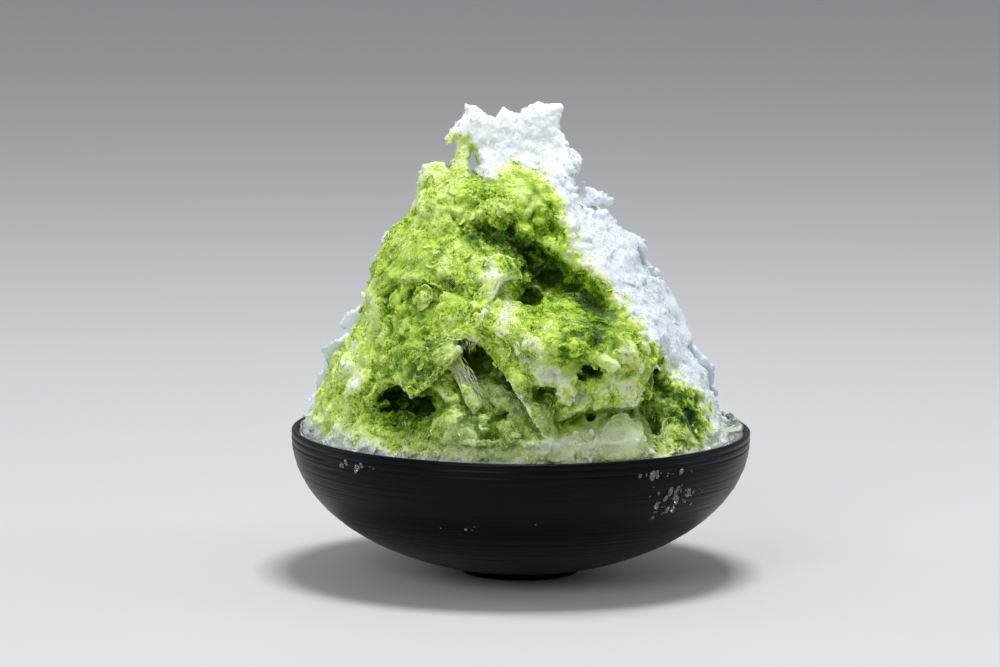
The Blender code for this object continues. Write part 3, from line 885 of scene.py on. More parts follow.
def addShingles(shells, surface):
    pick = random.Random(shingles["seed"])
    for index in range(shingles["count"]):
        out, up, centre, normal = anyPlace(surface, pick, 1.25, 86.0)
        length = pick.uniform(*shingles["length"]) * (0.55 + 0.45 * pick.random())
        length *= 0.6 if up > 70 else 1.0
        lean = pick.gauss(0.0, 0.9)
        slim, rise = pick.uniform(*shingles["slim"]), pick.uniform(*shingles["rise"])
        curl, tone, soak = pick.uniform(-0.6, 1.4), pick.uniform(-0.16, 0.10), pick.uniform(-0.3, 0.5)
        reaches = [pick.uniform(0.62, 1.12) for _ in range(9)]
        if centre is None or centre.z < rimZ + 3 * mm:
            continue
        across = centre.x / mm
        if out.y < 0.0 and inCave(across, up, 1.3):
            continue
        normal = (normal + out).normalized()
        down = (Vector((0.0, 0.0, -1.0)) + normal * normal.z).normalized()
        sideways = normal.cross(down)
        ahead = down * math.cos(lean) + sideways * math.sin(lean)
        side = ahead.cross(normal)
        half = 0.5 * length
        outline = []
        for k, reach in enumerate(reaches):
            around = 2.0 * math.pi * k / len(reaches)
            outline.append((half * slim * reach * math.cos(around), half * reach * math.sin(around)))
        dry = across > np.interp(up, *zip(*shingles["dryEdge"])) or out.y > 0.0
        rise *= min(1.0, length / 7.0) * (0.6 if dry else 1.0)
        place = shinglePlace(surface, centre, normal, ahead, side, half, rise, curl)
        sheet = outlineSheet(outline, place, shingles["thick"], reach=1.6, spacing=0.85, ragged=0.45,
                             seed=index + 200, rounded=0.5)
        shells.add(*sheet, tone=tone, soak=max(0.0, soak))


def makeSheets(surface, plain, material):
    shells = Shells()
    addShingles(shells, surface)
    for index, sheet in enumerate(broadSheets.values()):
        place = draped(plain, sheet["lifts"])
        shell = outlineSheet(sheet["outline"], place, sheet["thick"], thin=0.15, ragged=0.5, seed=index + 3)
        shells.add(*shell, tone=sheet["tone"], soak=sheet.get("soak", 0.0))
    for index, sheet in enumerate(edgeSheets.values()):
        def place(across, up):
            bend = 1.4 * noise.noise(Vector((across / 5.0, up / 5.0, index)))
            bend += 3.0 * noise.noise(Vector((0.0, up / 9.0, index)))
            inward = 74.0 - 0.6 * up - abs(across)
            outer = across + math.copysign(1.0, across)
            depth = bend - sheet["forward"] - sheet["turned"] * inward
            return Vector((outer * mm, depth * mm, rimZ + up * mm)), 0.0
        shell = outlineSheet(sheet["outline"], place, 2.4, thin=0.2, reach=2.6, ragged=0.9, seed=index + 60,
                             rounded=0.2, relief=0.3)
        shells.add(*shell, tone=sheet["tone"])
    return shells.piece("broadShavings", material)


def makeCrest(material):
    shells = Shells()
    shells.add(*outlineSheet(
        crest["outline"], crestPlace, crest["thick"], thin=crest["thin"], reach=crest["reach"], spacing=0.62,
        ragged=0.5, seed=2, rounded=0.2, holes=(crest["slot"],), relief=0.3))
    return shells.piece("standingSheet", material)


# Frost: the fine relief of the packed ice, three sizes of swell over the whole skin, then how deep each
# point lies in a hollow, which the ice's colour reads: hollows get deeper syrup colour, partly where syrup
# gathers and partly as painted shade.
frost = {
    "lumpSize": 4.6 * mm,
    "lumpDepth": 1.25 * mm,
    "grainSize": 1.7 * mm,
    "grainDepth": 0.60 * mm,
    "crumbSize": 0.85 * mm,
    "crumbDepth": 0.36 * mm,
}


def frostTree():
    tree, given = newTree("frostRelief", [(name, "Float") for name in frost])
    place = addNode(tree, "GeometryNodeInputPosition").outputs[0]
    calm = addNode(tree, "GeometryNodeInputNamedAttribute", {"Name": "calm"}, data_type="FLOAT")
    rough = addNode(tree, "ShaderNodeMath", {0: 1.0, 1: calm.outputs["Attribute"]}, operation="SUBTRACT")
    offset = (0.0, 0.0, 0.0)
    for word, detail in (("lump", 1.0), ("grain", 1.0), ("crumb", 0.0)):
        scale = addNode(tree, "ShaderNodeMath", {0: 1.0, 1: given[word + "Size"]}, operation="DIVIDE")
        swell = addNode(tree, "ShaderNodeTexNoise", {
            "Vector": place, "Scale": scale.outputs[0], "Detail": detail})
        centred = addNode(tree, "ShaderNodeVectorMath", {
            0: swell.outputs["Color"], 1: (0.5, 0.5, 0.5)}, operation="SUBTRACT")
        deep = addNode(tree, "ShaderNodeVectorMath", {
            0: centred.outputs[0], "Scale": given[word + "Depth"]}, operation="SCALE")
        twice = addNode(tree, "ShaderNodeVectorMath", {0: deep.outputs[0], "Scale": 2.0}, operation="SCALE")
        added = addNode(tree, "ShaderNodeVectorMath", {0: offset, 1: twice.outputs[0]}, operation="ADD")
        offset = added.outputs[0]
    eased = addNode(tree, "ShaderNodeVectorMath", {0: offset, "Scale": rough.outputs[0]}, operation="SCALE")
    current = addNode(tree, "GeometryNodeSetPosition", {
        "Geometry": given["Geometry"], "Offset": eased.outputs[0]}).outputs[0]
    # how far each point sinks below its blurred surroundings; the colour darkens there, partly as painted
    # shade
    for name, rounds, depth in (("hollow", 12, 0.5 * mm), ("deepHollow", 160, 2.2 * mm)):
        blur = addNode(tree, "GeometryNodeBlurAttribute", {
            "Value": place, "Iterations": rounds}, data_type="FLOAT_VECTOR")
        away = addNode(tree, "ShaderNodeVectorMath", {0: blur.outputs[0], 1: place}, operation="SUBTRACT")
        normal = addNode(tree, "GeometryNodeInputNormal").outputs[0]
        sunk = addNode(tree, "ShaderNodeVectorMath", {
            0: away.outputs[0], 1: normal}, operation="DOT_PRODUCT")
        scaled = addNode(tree, "ShaderNodeMath", {
            0: sunk.outputs["Value"], 1: 1 / depth}, operation="MULTIPLY")
        current = addNode(tree, "GeometryNodeStoreNamedAttribute", {
            "Geometry": current, "Name": name, "Value": scaled.outputs[0]},
            data_type="FLOAT", domain="POINT").outputs[0]
    addNode(tree, "NodeGroupOutput", {"Geometry": current})
    return tree


def addFrost(piece, share):
    # calm says where the relief is weaker: on smooth places, on patches, and a little on dry ice
    place = coordinates(piece)
    across, up = place[:, 0] / mm, (place[:, 2] - rimZ) / mm
    smooth = gathered(across, up, smoothPlaces) * smoothStep(4 * mm, -4 * mm, place[:, 1])
    dry = smoothStep(-3.0, 3.0, across - np.interp(up, *zip(*syrup["rightEdge"])))
    patches = smoothStep(0.12, 0.42, wobble(place, 7.5 * mm, 21.0)) * (1.0 - dry)
    calm = np.maximum(0.85 * np.minimum(smooth, 1.0), 0.1 * dry)
    writeMark(piece, "calm", np.maximum(calm, 0.6 * patches))
    layer = piece.modifiers.new("frost", "NODES")
    layer.node_group = bpy.data.node_groups.get("frostRelief") or frostTree()
    for name, value in frost.items():
        setInput(layer, name, value * (share if name.endswith("Depth") else 1.0))
    settle(piece)


def thinOut(core):
    # fewer faces where the skin is smooth, so that the whole piece stays light
    thinner = core.modifiers.new("thinOut", "DECIMATE")
    thinner.ratio = heap["kept"]
    thinner.use_collapse_triangulate = True
    settle(core)


# Where the syrup went, in mm: how far it reaches to the right at each height of the front, its top edge
# from left to right, and how far it goes round to the back at each height. dark is where syrup and
# powdered tea gather, and also painted shade in caves, recesses and under the ledge; pale is where the
# ice stayed white, and also painted light on lit tops; wet where it melts: across, height, reach both
# ways, tilt, strength.
syrup = {
    "rightEdge": ((-3, 67.5), (0.5, 67), (16, 58.5), (31, 46.5), (43, 41), (54, 27.5), (66, 20), (78, 13.5),
                  (90, 5), (97, -8)),
    "topEdge": ((-40, 96), (-26, 103), (-21, 103), (-18, 100), (-13, 90), (-8, 92.5), (-3, 95.5), (0, 98),
                (5, 99), (9, 97), (13, 91), (17, 80)),
    "backEdge": ((0, -6.0), (40, -5.0), (62, 6.0), (90, 12.0)),
    "swells": (14 * mm, 5 * mm, 2.0 * mm),  # broad, middle and small patches of more or less syrup
    "backSwirl": 24 * mm,  # the runs on the back
    "leastTint": 0.09,
    # syrup and tea gathered, and painted shade in caves, recesses and under the ledge
    "dark": (
        (-14, 71, 7, 5, -20, 0.34), (-2, 65, 9, 6, -38, 0.50), (7, 60, 9, 6, -40, 0.42),
        (17, 56, 9, 6, -48, 0.46), (27, 47, 6, 5, -50, 0.36), (1, 51, 8, 5, -20, 0.30),
        (-15, 31, 8, 8, 0, 0.12), (-4, 26, 8, 5, -40, 0.36), (-39, 14, 10, 7, 10, 0.54),
        (23, 29, 5, 4, 0, 0.3), (8, 22, 4, 3, -35, 0.2), (36, 14, 8, 4, 0, 0.16),
        (12, 12, 9, 4, -20, 0.1), (49, 22, 5, 10, 25, 0.7), (46, 9, 4, 6, 0, 0.05),
        (-43, 46, 9, 11, 0, 0.24), (-33, 31, 9, 8, 0, 0.34), (-14, 88, 4, 4, 0, 0.16),
        (-45, 18, 5, 12, 0, 0.1), (-18, 71, 6, 4, -30, 0.15), (57, 10, 6, 8, 20, 0.55),
        (15, 40, 7, 5, 0, 0.42), (15, 38, 3, 2, 0, 0.4), (24, 42, 2, 2, 0, 0.4),
        (36, 28, 2.5, 2, 0, 0.45), (30, 21, 2, 2, 0, 0.4), (28, 40, 4, 4, 0, 0.2),
        (18, 72, 7, 8, -40, 0.22), (24, 64, 6, 6, -45, 0.24), (-8, 12, 12, 8, 0, 0.2),
        (-25, 12, 7, 7, 0, 0.16), (10, 90, 8, 5, -20, 0.06), (-50, 60, 6, 6, 0, 0.1),
        (-24, 50, 8, 5, 0, 0.12), (-21, 57, 6, 4, 0, 0.14), (7, 81, 7, 6, 0, 0.34),
        (-35, 63, 7, 7, 0, 0.12), (37, 44, 5, 4, -40, 0.2), (64, 11, 4, 6, 25, 0.55),
        (-47, 30, 5, 4, 0, 0.08), (-5, 25, 4, 3, -40, 0.15), (15, 36, 8, 4, 0, 0.1),
    ),
    # ice that stayed white, and painted light on lit tops
    "pale": (
        (-6, 94, 10, 4, -5, 0.15), (7, 93, 5, 4, 0, 0.05), (-33, 90, 6, 3, 0, 0.10),
        (8, 43, 5, 3, 0, 0.1), (-30, 78, 8, 6, 0, 0.06), (4, 81, 4, 2.6, -25, 0.30),
        (-8, 61, 6, 4, -30, 0.34), (-9, 56, 6, 4, -20, 0.15), (-58, 24, 5, 6, 0, 0.2),
        (-4, 48.5, 4, 3, 0, 0.34), (17, 61, 4, 3, 0, 0.22), (9, 29, 8, 4, -20, 0.08),
        (20, 5, 8, 4, 0, 0.32), (8, 4, 7, 4, 0, 0.52), (-62, 6, 6, 6, 0, 0.10), (-52, 44, 4, 8, 0, 0.18),
        (34, 8, 7, 6, 0, 0.26), (64, 6, 3, 8, 20, 0.3), (-74, 1, 4, 4, 0, 0.4), (34, 25, 6, 4, 0, 0.22),
        (0, 40, 7, 3, 0, 0.18), (8, 30, 7, 3.5, 0, 0.26), (10, 44, 2.5, 1.6, 0, 0.2),
        (28, 36, 3, 2, 0, 0.2), (41, 30, 3, 2, 0, 0.2), (-16, 48, 8, 5, 0, 0.08), (35, 39, 5, 4, 0, 0.08),
    ),
    "wet": (
        (6, 8, 26, 13, 0, 0.62), (-20, 10, 12, 12, 0, 0.6), (34, 7, 9, 8, 0, 1.0),
        (-4, 22, 12, 5, -10, 0.8), (-22, 38, 8, 3, 10, 0.6), (-32, 32, 8, 7, 0, 0.45),
        (46, 10, 5, 7, 0, 0.4), (-35, 62, 6, 6, 0, 0.15),
    ),
}


def gathered(across, up, places):
    # the places' strengths added up, each fading out from its middle
    total = np.zeros(len(across))
    for place in places:
        along, over = tilted(across, up, place)
        total += place[5] * np.exp(-along ** 2 - over ** 2)
    return total


def readMark(piece, name):
    values = np.zeros(len(piece.data.vertices), np.float32)
    if name in piece.data.attributes:
        piece.data.attributes[name].data.foreach_get("value", values)
    return values


def writeMark(piece, name, values):
    if name not in piece.data.attributes:
        piece.data.attributes.new(name, "FLOAT", "POINT")
    piece.data.attributes[name].data.foreach_set("value", np.clip(values, 0.0, 1.0).astype(np.float32))


def pourSyrup(piece):
    # writes syrup (0 white to 1 soaked dark), wet (clear and smooth) and tea (powder) on every point
    place = coordinates(piece)
    across, depth, up = place[:, 0] / mm, place[:, 1] / mm, (place[:, 2] - rimZ) / mm
    broad, middle, small = (wobble(place, size, 1.0 + k) for k, size in enumerate(syrup["swells"]))
    facing = smoothStep(4.0, -4.0, depth)
    # dark adds syrup and painted shade, pale takes syrup away for white ice and painted light
    dark = gathered(across, up, syrup["dark"]) * facing
    pale = gathered(across, up, syrup["pale"]) * facing

    # the front, up to the edges of the syrup
    right = np.interp(up, *zip(*syrup["rightEdge"])) - across
    over = np.interp(across, *zip(*syrup["topEdge"])) - up
    behind = np.interp(up, *zip(*syrup["backEdge"])) - depth
    front = smoothStep(-4.0, 5.0, right + 4.0 * broad + 3.0 * middle + 3.0 * small)
    front *= smoothStep(-2.5, 4.0, over + 2.5 * middle + 3.0 * small)
    front *= smoothStep(-5.0, 5.0, behind + 6.0 * broad + 4.0 * middle)

    # the back, a few runs
    swirl = wobble(place * np.array((1.0, 1.0, 0.45)), syrup["backSwirl"], 7.0)
    back = smoothStep(0.05, 0.5, swirl + 0.4 * broad - 0.12)
    back = back * smoothStep(-2.0, 12.0, depth) * smoothStep(2.0, -14.0, up - 88.0)

    calm = readMark(piece, "calm")
    rim, tone, soak = readMark(piece, "rim"), readMark(piece, "tone"), readMark(piece, "soak")
    amount = front * (0.33 + 0.12 * broad + 0.13 * middle + 0.06 * small) + back * (0.26 + 0.2 * middle)
    # pooled syrup, with painted shade in recesses and painted light on lit tops
    syrupShadeAndLight = dark * (1.0 + 0.35 * middle + 0.2 * small) - pale - 0.06 * calm
    amount += syrupShadeAndLight * np.maximum(front, 0.1)
    amount += tone * front - 0.03 * rim * front
    amount = np.maximum(amount, syrup["leastTint"] * smoothStep(0.3, 0.9, front) * (tone > -0.5))
    calm = calm * front
    wet = 0.3 * calm + gathered(across, up, syrup["wet"]) * facing * (1.0 + 0.5 * middle)
    wet = wet + smoothStep(9.0, 1.0, up + 5.0 * middle + 4.0 * broad) * 0.4
    tea = front * (1.0 - 0.85 * calm) * (0.8 + 0.6 * broad + 0.5 * middle)
    tea = np.clip(tea - 0.8 * np.clip(wet, 0, 1) - 0.8 * pale, 0, 1) + back * 0.35
    # green water stands at the foot
    melt = 0.12 + 0.16 * facing * smoothStep(70.0, 56.0, abs(across + 4.0))
    melt = smoothStep(7.0, 0.0, up + 2.0 * middle) * melt
    writeMark(piece, "syrup", np.maximum(amount, melt * (1.0 + tone)))
    writeMark(piece, "wet", np.maximum(wet * (1.0 + tone), soak))
    writeMark(piece, "tea", tea * (1.0 - 0.7 * soak) * np.where(tone < -0.3, 0.0, 1.0))


# Shaved ice soaked with green tea syrup: air between the grains makes it white and lets light in, and
# syrup fills that air, so it turns clearer and deeper green where more of it gathers.
def shavedIce(name, paler=0.0, grainBump=0.5, glow=0.0, gloss=0.0, dry="#DAE3E9", shadow=0.6):
    material, tree, shader = newMaterial(name)
    place = addNode(tree, "ShaderNodeTexCoord").outputs["Object"]
    signal = {}
    for word in ("syrup", "wet", "tea", "hollow", "deepHollow"):
        signal[word] = addNode(tree, "ShaderNodeAttribute", attribute_name=word).outputs["Fac"]
    for word, size, detail, low, high, start, end in (
        ("uneven", 2.4 * mm, 3.0, 0.3, 0.7, 0.72, 1.28),  # more and less syrup between the clumps
        ("thread", 1.2 * mm, 3.0, 0.52, 0.60, 0.0, 0.34),  # powder gathered in threads and clots
        ("threadPatch", 6.0 * mm, 1.0, 0.38, 0.6, 0.2, 1.0),
        ("glint", 0.9 * mm, 2.0, 0.57, 0.65, 0.0, 0.8),  # crystals that stayed clean, and painted glints
        ("glintPatch", 5.0 * mm, 2.0, 0.45, 0.62, 0.08, 1.0),
        ("grainShade", 0.6 * mm, 3.0, 0.35, 0.7, 0.0, shadow),  # painted blue-grey shade between dry grains
        ("speckPatch", 6.0 * mm, 2.0, 0.38, 0.62, 0.04, 0.8),
    ):
        grown = addNode(tree, "ShaderNodeTexNoise", {
            "Vector": place, "Scale": 1 / size, "Detail": detail, "Roughness": 0.6})
        signal[word] = addNode(tree, "ShaderNodeMapRange", {
            "Value": grown.outputs["Fac"], "From Min": low, "From Max": high, "To Min": start,
            "To Max": end}).outputs[0]
    cells = addNode(tree, "ShaderNodeTexVoronoi", {
        "Vector": place, "Scale": 1 / (0.85 * mm), "Randomness": 1.0})
    signal["cell"] = addNode(tree, "ShaderNodeSeparateColor", {"Color": cells.outputs["Color"]}).outputs[0]
    signal["speck"] = addNode(tree, "ShaderNodeMapRange", {
        "Value": cells.outputs["Distance"], "From Min": 0.22, "From Max": 0.42, "To Min": 0.75,
        "To Max": 0.0}).outputs[0]

    # how strong the syrup is, then how much of each tint lies over its colour; True clamps to 0 to 1
    for word, operation, clamped, *given in (
        # hollow and deepHollow raise the syrup's strength: syrup gathering there, and painted shade in
        # hollows
        ("sunk", "MAXIMUM", False, "hollow", -0.9),
        ("gain", "MULTIPLY_ADD", False, "sunk", 0.17, "uneven"),
        ("gain", "MULTIPLY_ADD", False, "deepHollow", 0.24, "gain"),
        ("strength", "MULTIPLY", False, "syrup", "gain"),
        ("threads", "MULTIPLY", False, "thread", "tea"),
        ("threads", "MULTIPLY", False, "threads", "threadPatch"),
        ("strength", "ADD", False, "strength", "threads"),
        ("strength", "SUBTRACT", True, "strength", paler),
        ("syrupy", "MULTIPLY", True, "strength", 1.7),
        ("soaked", "MULTIPLY", True, "wet", 0.75),
        ("clean", "SUBTRACT", True, 1.0, "strength"),
        ("glints", "MULTIPLY", False, "glint", "glintPatch"),
        ("glints", "MULTIPLY", False, "glints", "clean"),
        ("white", "MULTIPLY_ADD", True, "strength", -6.0, 1.0),
        # painted shade between grains, only where the ice is white
        ("grainShadeShare", "MULTIPLY", False, "grainShade", "white"),
        ("powdered", "MULTIPLY", False, "speckPatch", "tea"),
        ("powdered", "LESS_THAN", False, "cell", "powdered"),
        ("specks", "MULTIPLY", False, "powdered", "speck"),
    ):
        inputs = {index: signal.get(value, value) for index, value in enumerate(given)}
        made = addNode(tree, "ShaderNodeMath", inputs, operation=operation, use_clamp=clamped)
        signal[word] = made.outputs[0]

    stops = ((0.0, dry), (0.06, "#E6EDD3"), (0.18, "#D2E47C"), (0.34, "#B2D03A"), (0.50, "#89AF16"),
             (0.70, "#527B08"), (1.0, "#223A01"))
    signal["colour"] = paint(addNode(tree, "ShaderNodeValToRGB", {"Fac": signal["strength"]}), stops)
    for word, share, under, over in (
        ("clear", "syrupy", "#CAD7A6", "#4E6A14"),
        ("colour", "soaked", "colour", "clear"),
        # near-white specks: clean crystals and painted glints
        ("colour", "glints", "colour", "#EEF5E4"),
        # painted blue-grey shade between dry grains
        ("colour", "grainShadeShare", "colour", "#CFD8DF"),
        ("colour", "specks", "colour", "#42650A"),
    ):
        under, over = (linear(value) if value.startswith("#") else signal[value] for value in (under, over))
        mix = addNode(tree, "ShaderNodeMix", {0: signal[share], 6: under, 7: over}, data_type="RGBA")
        signal[word] = mix.outputs[2]

    rough = addNode(tree, "ShaderNodeMapRange", {
        "Value": signal["wet"], "To Min": 0.5 - gloss, "To Max": 0.18 - 0.3 * gloss})
    crystals = addNode(tree, "ShaderNodeTexVoronoi", {
        "Vector": place, "Scale": 1 / (0.8 * mm)}, feature="SMOOTH_F1")
    fine = addNode(tree, "ShaderNodeTexNoise", {"Vector": place, "Scale": 1 / (0.45 * mm), "Detail": 2.0})
    height = addNode(tree, "ShaderNodeMath", {
        0: crystals.outputs["Distance"], 1: fine.outputs["Fac"]}, operation="ADD")
    bump = addNode(tree, "ShaderNodeBump", {
        "Height": height.outputs[0], "Strength": grainBump, "Distance": 0.35 * mm})
    feed(tree, shader, {
        "Base Color": signal["colour"], "Roughness": rough.outputs[0], "Normal": bump.outputs[0],
        "IOR": 1.31, "Subsurface Weight": glow, "Subsurface Radius": (1.0, 1.0, 0.95),
        "Subsurface Scale": 0.9 * mm})
    return material


# Loose ice strewn over the skin, one piece for each kind: a few shapes, set down by one tree of nodes where
# its share of the skin says. Smallest and largest are half lengths, and tilt is in radians.
loose = {
    "thinShavings": {
        "shapes": "curls", "finish": "wetIceShavings", "share": "shavingShare", "seed": 3,
        "perSquareMetre": 4.4e4, "smallest": 0.6 * mm, "largest": 2.6 * mm, "tilt": 0.9, "lift": 0.1 * mm},
    "iceFlakes": {
        "shapes": "plates", "finish": "looseIceGrains", "share": "flakeShare", "seed": 4,
        "perSquareMetre": 1.7e5, "smallest": 0.25 * mm, "largest": 0.9 * mm, "tilt": 0.8, "lift": 0.1 * mm},
    "iceFeathers": {
        "shapes": "plates", "finish": "packedWhiteIce", "share": "featherShare", "seed": 9,
        "perSquareMetre": 3.0e5, "smallest": 0.3 * mm, "largest": 1.1 * mm, "tilt": 1.4, "lift": 0.1 * mm},
    "whiteGrains": {
        "shapes": "crystals", "finish": "looseSnowGrains", "share": "whiteShare", "seed": 5,
        "perSquareMetre": 9.6e5, "smallest": 0.13 * mm, "largest": 0.4 * mm, "tilt": 3.1, "lift": 0.04 * mm},
    "soakedGrains": {
        "shapes": "crystals", "finish": "looseIceGrains", "share": "greenShare", "seed": 6,
        "perSquareMetre": 9.6e5, "smallest": 0.13 * mm, "largest": 0.4 * mm, "tilt": 3.1, "lift": 0.04 * mm},
    "frostGrains": {
        "shapes": "crystals", "finish": "sparklingFrost", "share": "frostShare", "seed": 8,
        "perSquareMetre": 9.0e5, "smallest": 0.12 * mm, "largest": 0.4 * mm, "tilt": 3.1, "lift": 0.14 * mm},
    "teaPowder": {
        "shapes": "crystals", "finish": "groundGreenTea", "share": "powderShare", "seed": 7,
        "perSquareMetre": 1.1e6, "smallest": 0.1 * mm, "largest": 0.26 * mm, "tilt": 3.1, "lift": 0.06 * mm},
}
looseSizes = ("perSquareMetre", "smallest", "largest", "tilt", "lift")


def shapeObject(name, verts, faces):
    mesh = bpy.data.meshes.new(name)
    mesh.from_pydata([tuple(v) for v in verts], [], faces)
    return bpy.data.objects.new(name, mesh)


def curlShape(name, pick):
    # a shaving: thin, curled along its length, with broken ends
    curl, cup, slim = pick.uniform(-0.35, 0.45), pick.uniform(-0.2, 0.3), pick.uniform(0.3, 0.6)
    rows, lanes = 4, 2
    verts = []
    for side in (0.035, -0.035):
        shape = random.Random(name)
        for i in range(rows + 1):
            for j in range(lanes + 1):
                x, t = 2.0 * i / rows - 1.0 + shape.uniform(-0.14, 0.14), j - 1.0
                y = t * slim * (1.0 - 0.45 * x * x) + shape.uniform(-0.1, 0.1)
                verts.append((x, y, curl * x * x + cup * t * t * 0.5 + shape.uniform(-0.04, 0.04) + side))
    count = (rows + 1) * (lanes + 1)
    faces = []
    for i in range(rows):
        for j in range(lanes):
            a = i * (lanes + 1) + j
            quad = (a, a + lanes + 1, a + lanes + 2, a + 1)
            faces += [quad, tuple(count + k for k in reversed(quad))]
    edge = list(range(lanes + 1)) + [i * (lanes + 1) + lanes for i in range(1, rows + 1)]
    edge += [rows * (lanes + 1) + j for j in range(lanes - 1, -1, -1)]
    edge += [i * (lanes + 1) for i in range(rows - 1, 0, -1)]
    faces += [(a, b, count + b, count + a) for a, b in zip(edge, edge[1:] + edge[:1])]
    return shapeObject(name, verts, faces)


def plateShape(name, pick):
    # a flake: thin to its edge, a little cupped, with a broken outline
    cup, narrow, sides = pick.uniform(0.05, 0.35), pick.uniform(0.55, 0.95), 6
    verts = []
    for k in range(sides):
        turn = 2.0 * math.pi * (k + pick.uniform(-0.25, 0.25)) / sides
        reach = pick.uniform(0.65, 1.15)
        verts.append((reach * math.cos(turn), narrow * reach * math.sin(turn), pick.uniform(-0.12, 0.12)))
    verts += [(0.0, 0.0, cup + 0.10), (0.0, 0.0, cup - 0.06)]
    faces = []
    for k in range(sides):
        nextOne = (k + 1) % sides
        faces += [(k, nextOne, sides), (nextOne, k, sides + 1)]
    return shapeObject(name, verts, faces)


def crystalShape(name, pick):
    # a broken grain: eight uneven faces
    ends = ((1, 0, 0), (0, 1, 0), (-1, 0, 0), (0, -1, 0), (0, 0, 1), (0, 0, -1))
    verts = [tuple(c * pick.uniform(0.6, 1.25) + pick.uniform(-0.2, 0.2) for c in end) for end in ends]
    faces = [(k, (k + 1) % 4, 4) for k in range(4)] + [((k + 1) % 4, k, 5) for k in range(4)]
    return shapeObject(name, verts, faces)


def collectShapes(name, maker, count, seed):
    pick = random.Random(seed)
    group = bpy.data.collections.new(name)
    for k in range(count):
        group.objects.link(maker("%s%d" % (name, k), pick))
    return group


def strewTree(name, share):
    inputs = [(word, "Float") for word in looseSizes]
    inputs += [("seed", "Int"), ("shapes", "Collection"), ("finish", "Material")]
    tree, given = newTree(name, inputs)
    thickness = addNode(tree, "GeometryNodeInputNamedAttribute", {"Name": share}, data_type="FLOAT")
    density = addNode(tree, "ShaderNodeMath", {
        0: thickness.outputs["Attribute"], 1: given["perSquareMetre"]}, operation="MULTIPLY")
    points = addNode(tree, "GeometryNodeDistributePointsOnFaces", {
        "Mesh": given["Geometry"], "Density": density.outputs[0], "Seed": given["seed"]})
    negative = addNode(tree, "ShaderNodeMath", {0: given["tilt"], 1: -1.0}, operation="MULTIPLY").outputs[0]
    low = addNode(tree, "ShaderNodeCombineXYZ", {0: negative, 1: negative, 2: 0.0})
    high = addNode(tree, "ShaderNodeCombineXYZ", {0: given["tilt"], 1: given["tilt"], 2: 2.0 * math.pi})
    spin = addNode(tree, "FunctionNodeRandomValue", {
        0: low.outputs[0], 1: high.outputs[0], "Seed": given["seed"]}, data_type="FLOAT_VECTOR")
    turned = addNode(tree, "FunctionNodeEulerToRotation", {0: spin.outputs[0]})
    facing = addNode(tree, "FunctionNodeRotateRotation", {
        0: points.outputs["Rotation"], 1: turned.outputs[0]}, rotation_space="LOCAL")
    luck = addNode(tree, "FunctionNodeRandomValue", {
        2: 0.0, 3: 1.0, "Seed": given["seed"]}, data_type="FLOAT")
    mostlySmall = addNode(tree, "ShaderNodeMath", {0: luck.outputs[1], 1: 1.7}, operation="POWER")
    size = addNode(tree, "ShaderNodeMapRange", {
        "Value": mostlySmall.outputs[0], "To Min": given["smallest"], "To Max": given["largest"]})
    kinds = addNode(tree, "GeometryNodeCollectionInfo", {
        "Collection": given["shapes"], "Separate Children": True, "Reset Children": True})
    which = addNode(tree, "FunctionNodeRandomValue", {4: 0, 5: 40, "Seed": given["seed"]}, data_type="INT")
    placed = addNode(tree, "GeometryNodeInstanceOnPoints", {
        "Points": points.outputs["Points"], "Instance": kinds.outputs[0], "Pick Instance": True,
        "Instance Index": which.outputs[2], "Rotation": facing.outputs[0], "Scale": size.outputs[0]})
    outward = addNode(tree, "ShaderNodeCombineXYZ", {2: given["lift"]})
    lifted = addNode(tree, "GeometryNodeTranslateInstances", {
        "Instances": placed.outputs[0], "Translation": outward.outputs[0]})
    real = addNode(tree, "GeometryNodeRealizeInstances", {"Geometry": lifted.outputs[0]})
    finished = addNode(tree, "GeometryNodeSetMaterial", {
        "Geometry": real.outputs[0], "Material": given["finish"]})
    addNode(tree, "NodeGroupOutput", {"Geometry": finished.outputs[0]})
    return tree


def strew(name, ground, shapes, finishes):
    look = loose[name]
    piece = bpy.data.objects.new(name, ground.data.copy())
    scene.collection.objects.link(piece)
    layer = piece.modifiers.new("strewn", "NODES")
    layer.node_group = strewTree(name + "Nodes", look["share"])
    for word in (*looseSizes, "seed"):
        setInput(layer, word, look[word])
    setInput(layer, "shapes", shapes[look["shapes"]])
    setInput(layer, "finish", finishes[look["finish"]])
    settle(piece)
    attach(piece, "root")
    report(piece)


def makeGround(pieces):
    # everything the loose ice can lie on, as one mesh with its marks
    verts, faces = [], []
    marks = {name: [] for name in ("syrup", "wet", "tea", "rim", "soak", "calm", "hollow", "deepHollow",
                                   "stands")}
    for piece in pieces:
        start = len(verts)
        verts += [tuple(v.co) for v in piece.data.vertices]
        faces += [tuple(start + i for i in p.vertices) for p in piece.data.polygons]
        for name, values in marks.items():
            values.append(readMark(piece, name))
        marks["stands"][-1][:] = piece.name == "standingSheet"
    ground = newPiece("ground", verts, faces)
    for name, values in marks.items():
        mark = ground.data.attributes.new(name, "FLOAT", "POINT")
        mark.data.foreach_set("value", np.concatenate(values).astype(np.float32))
    return ground


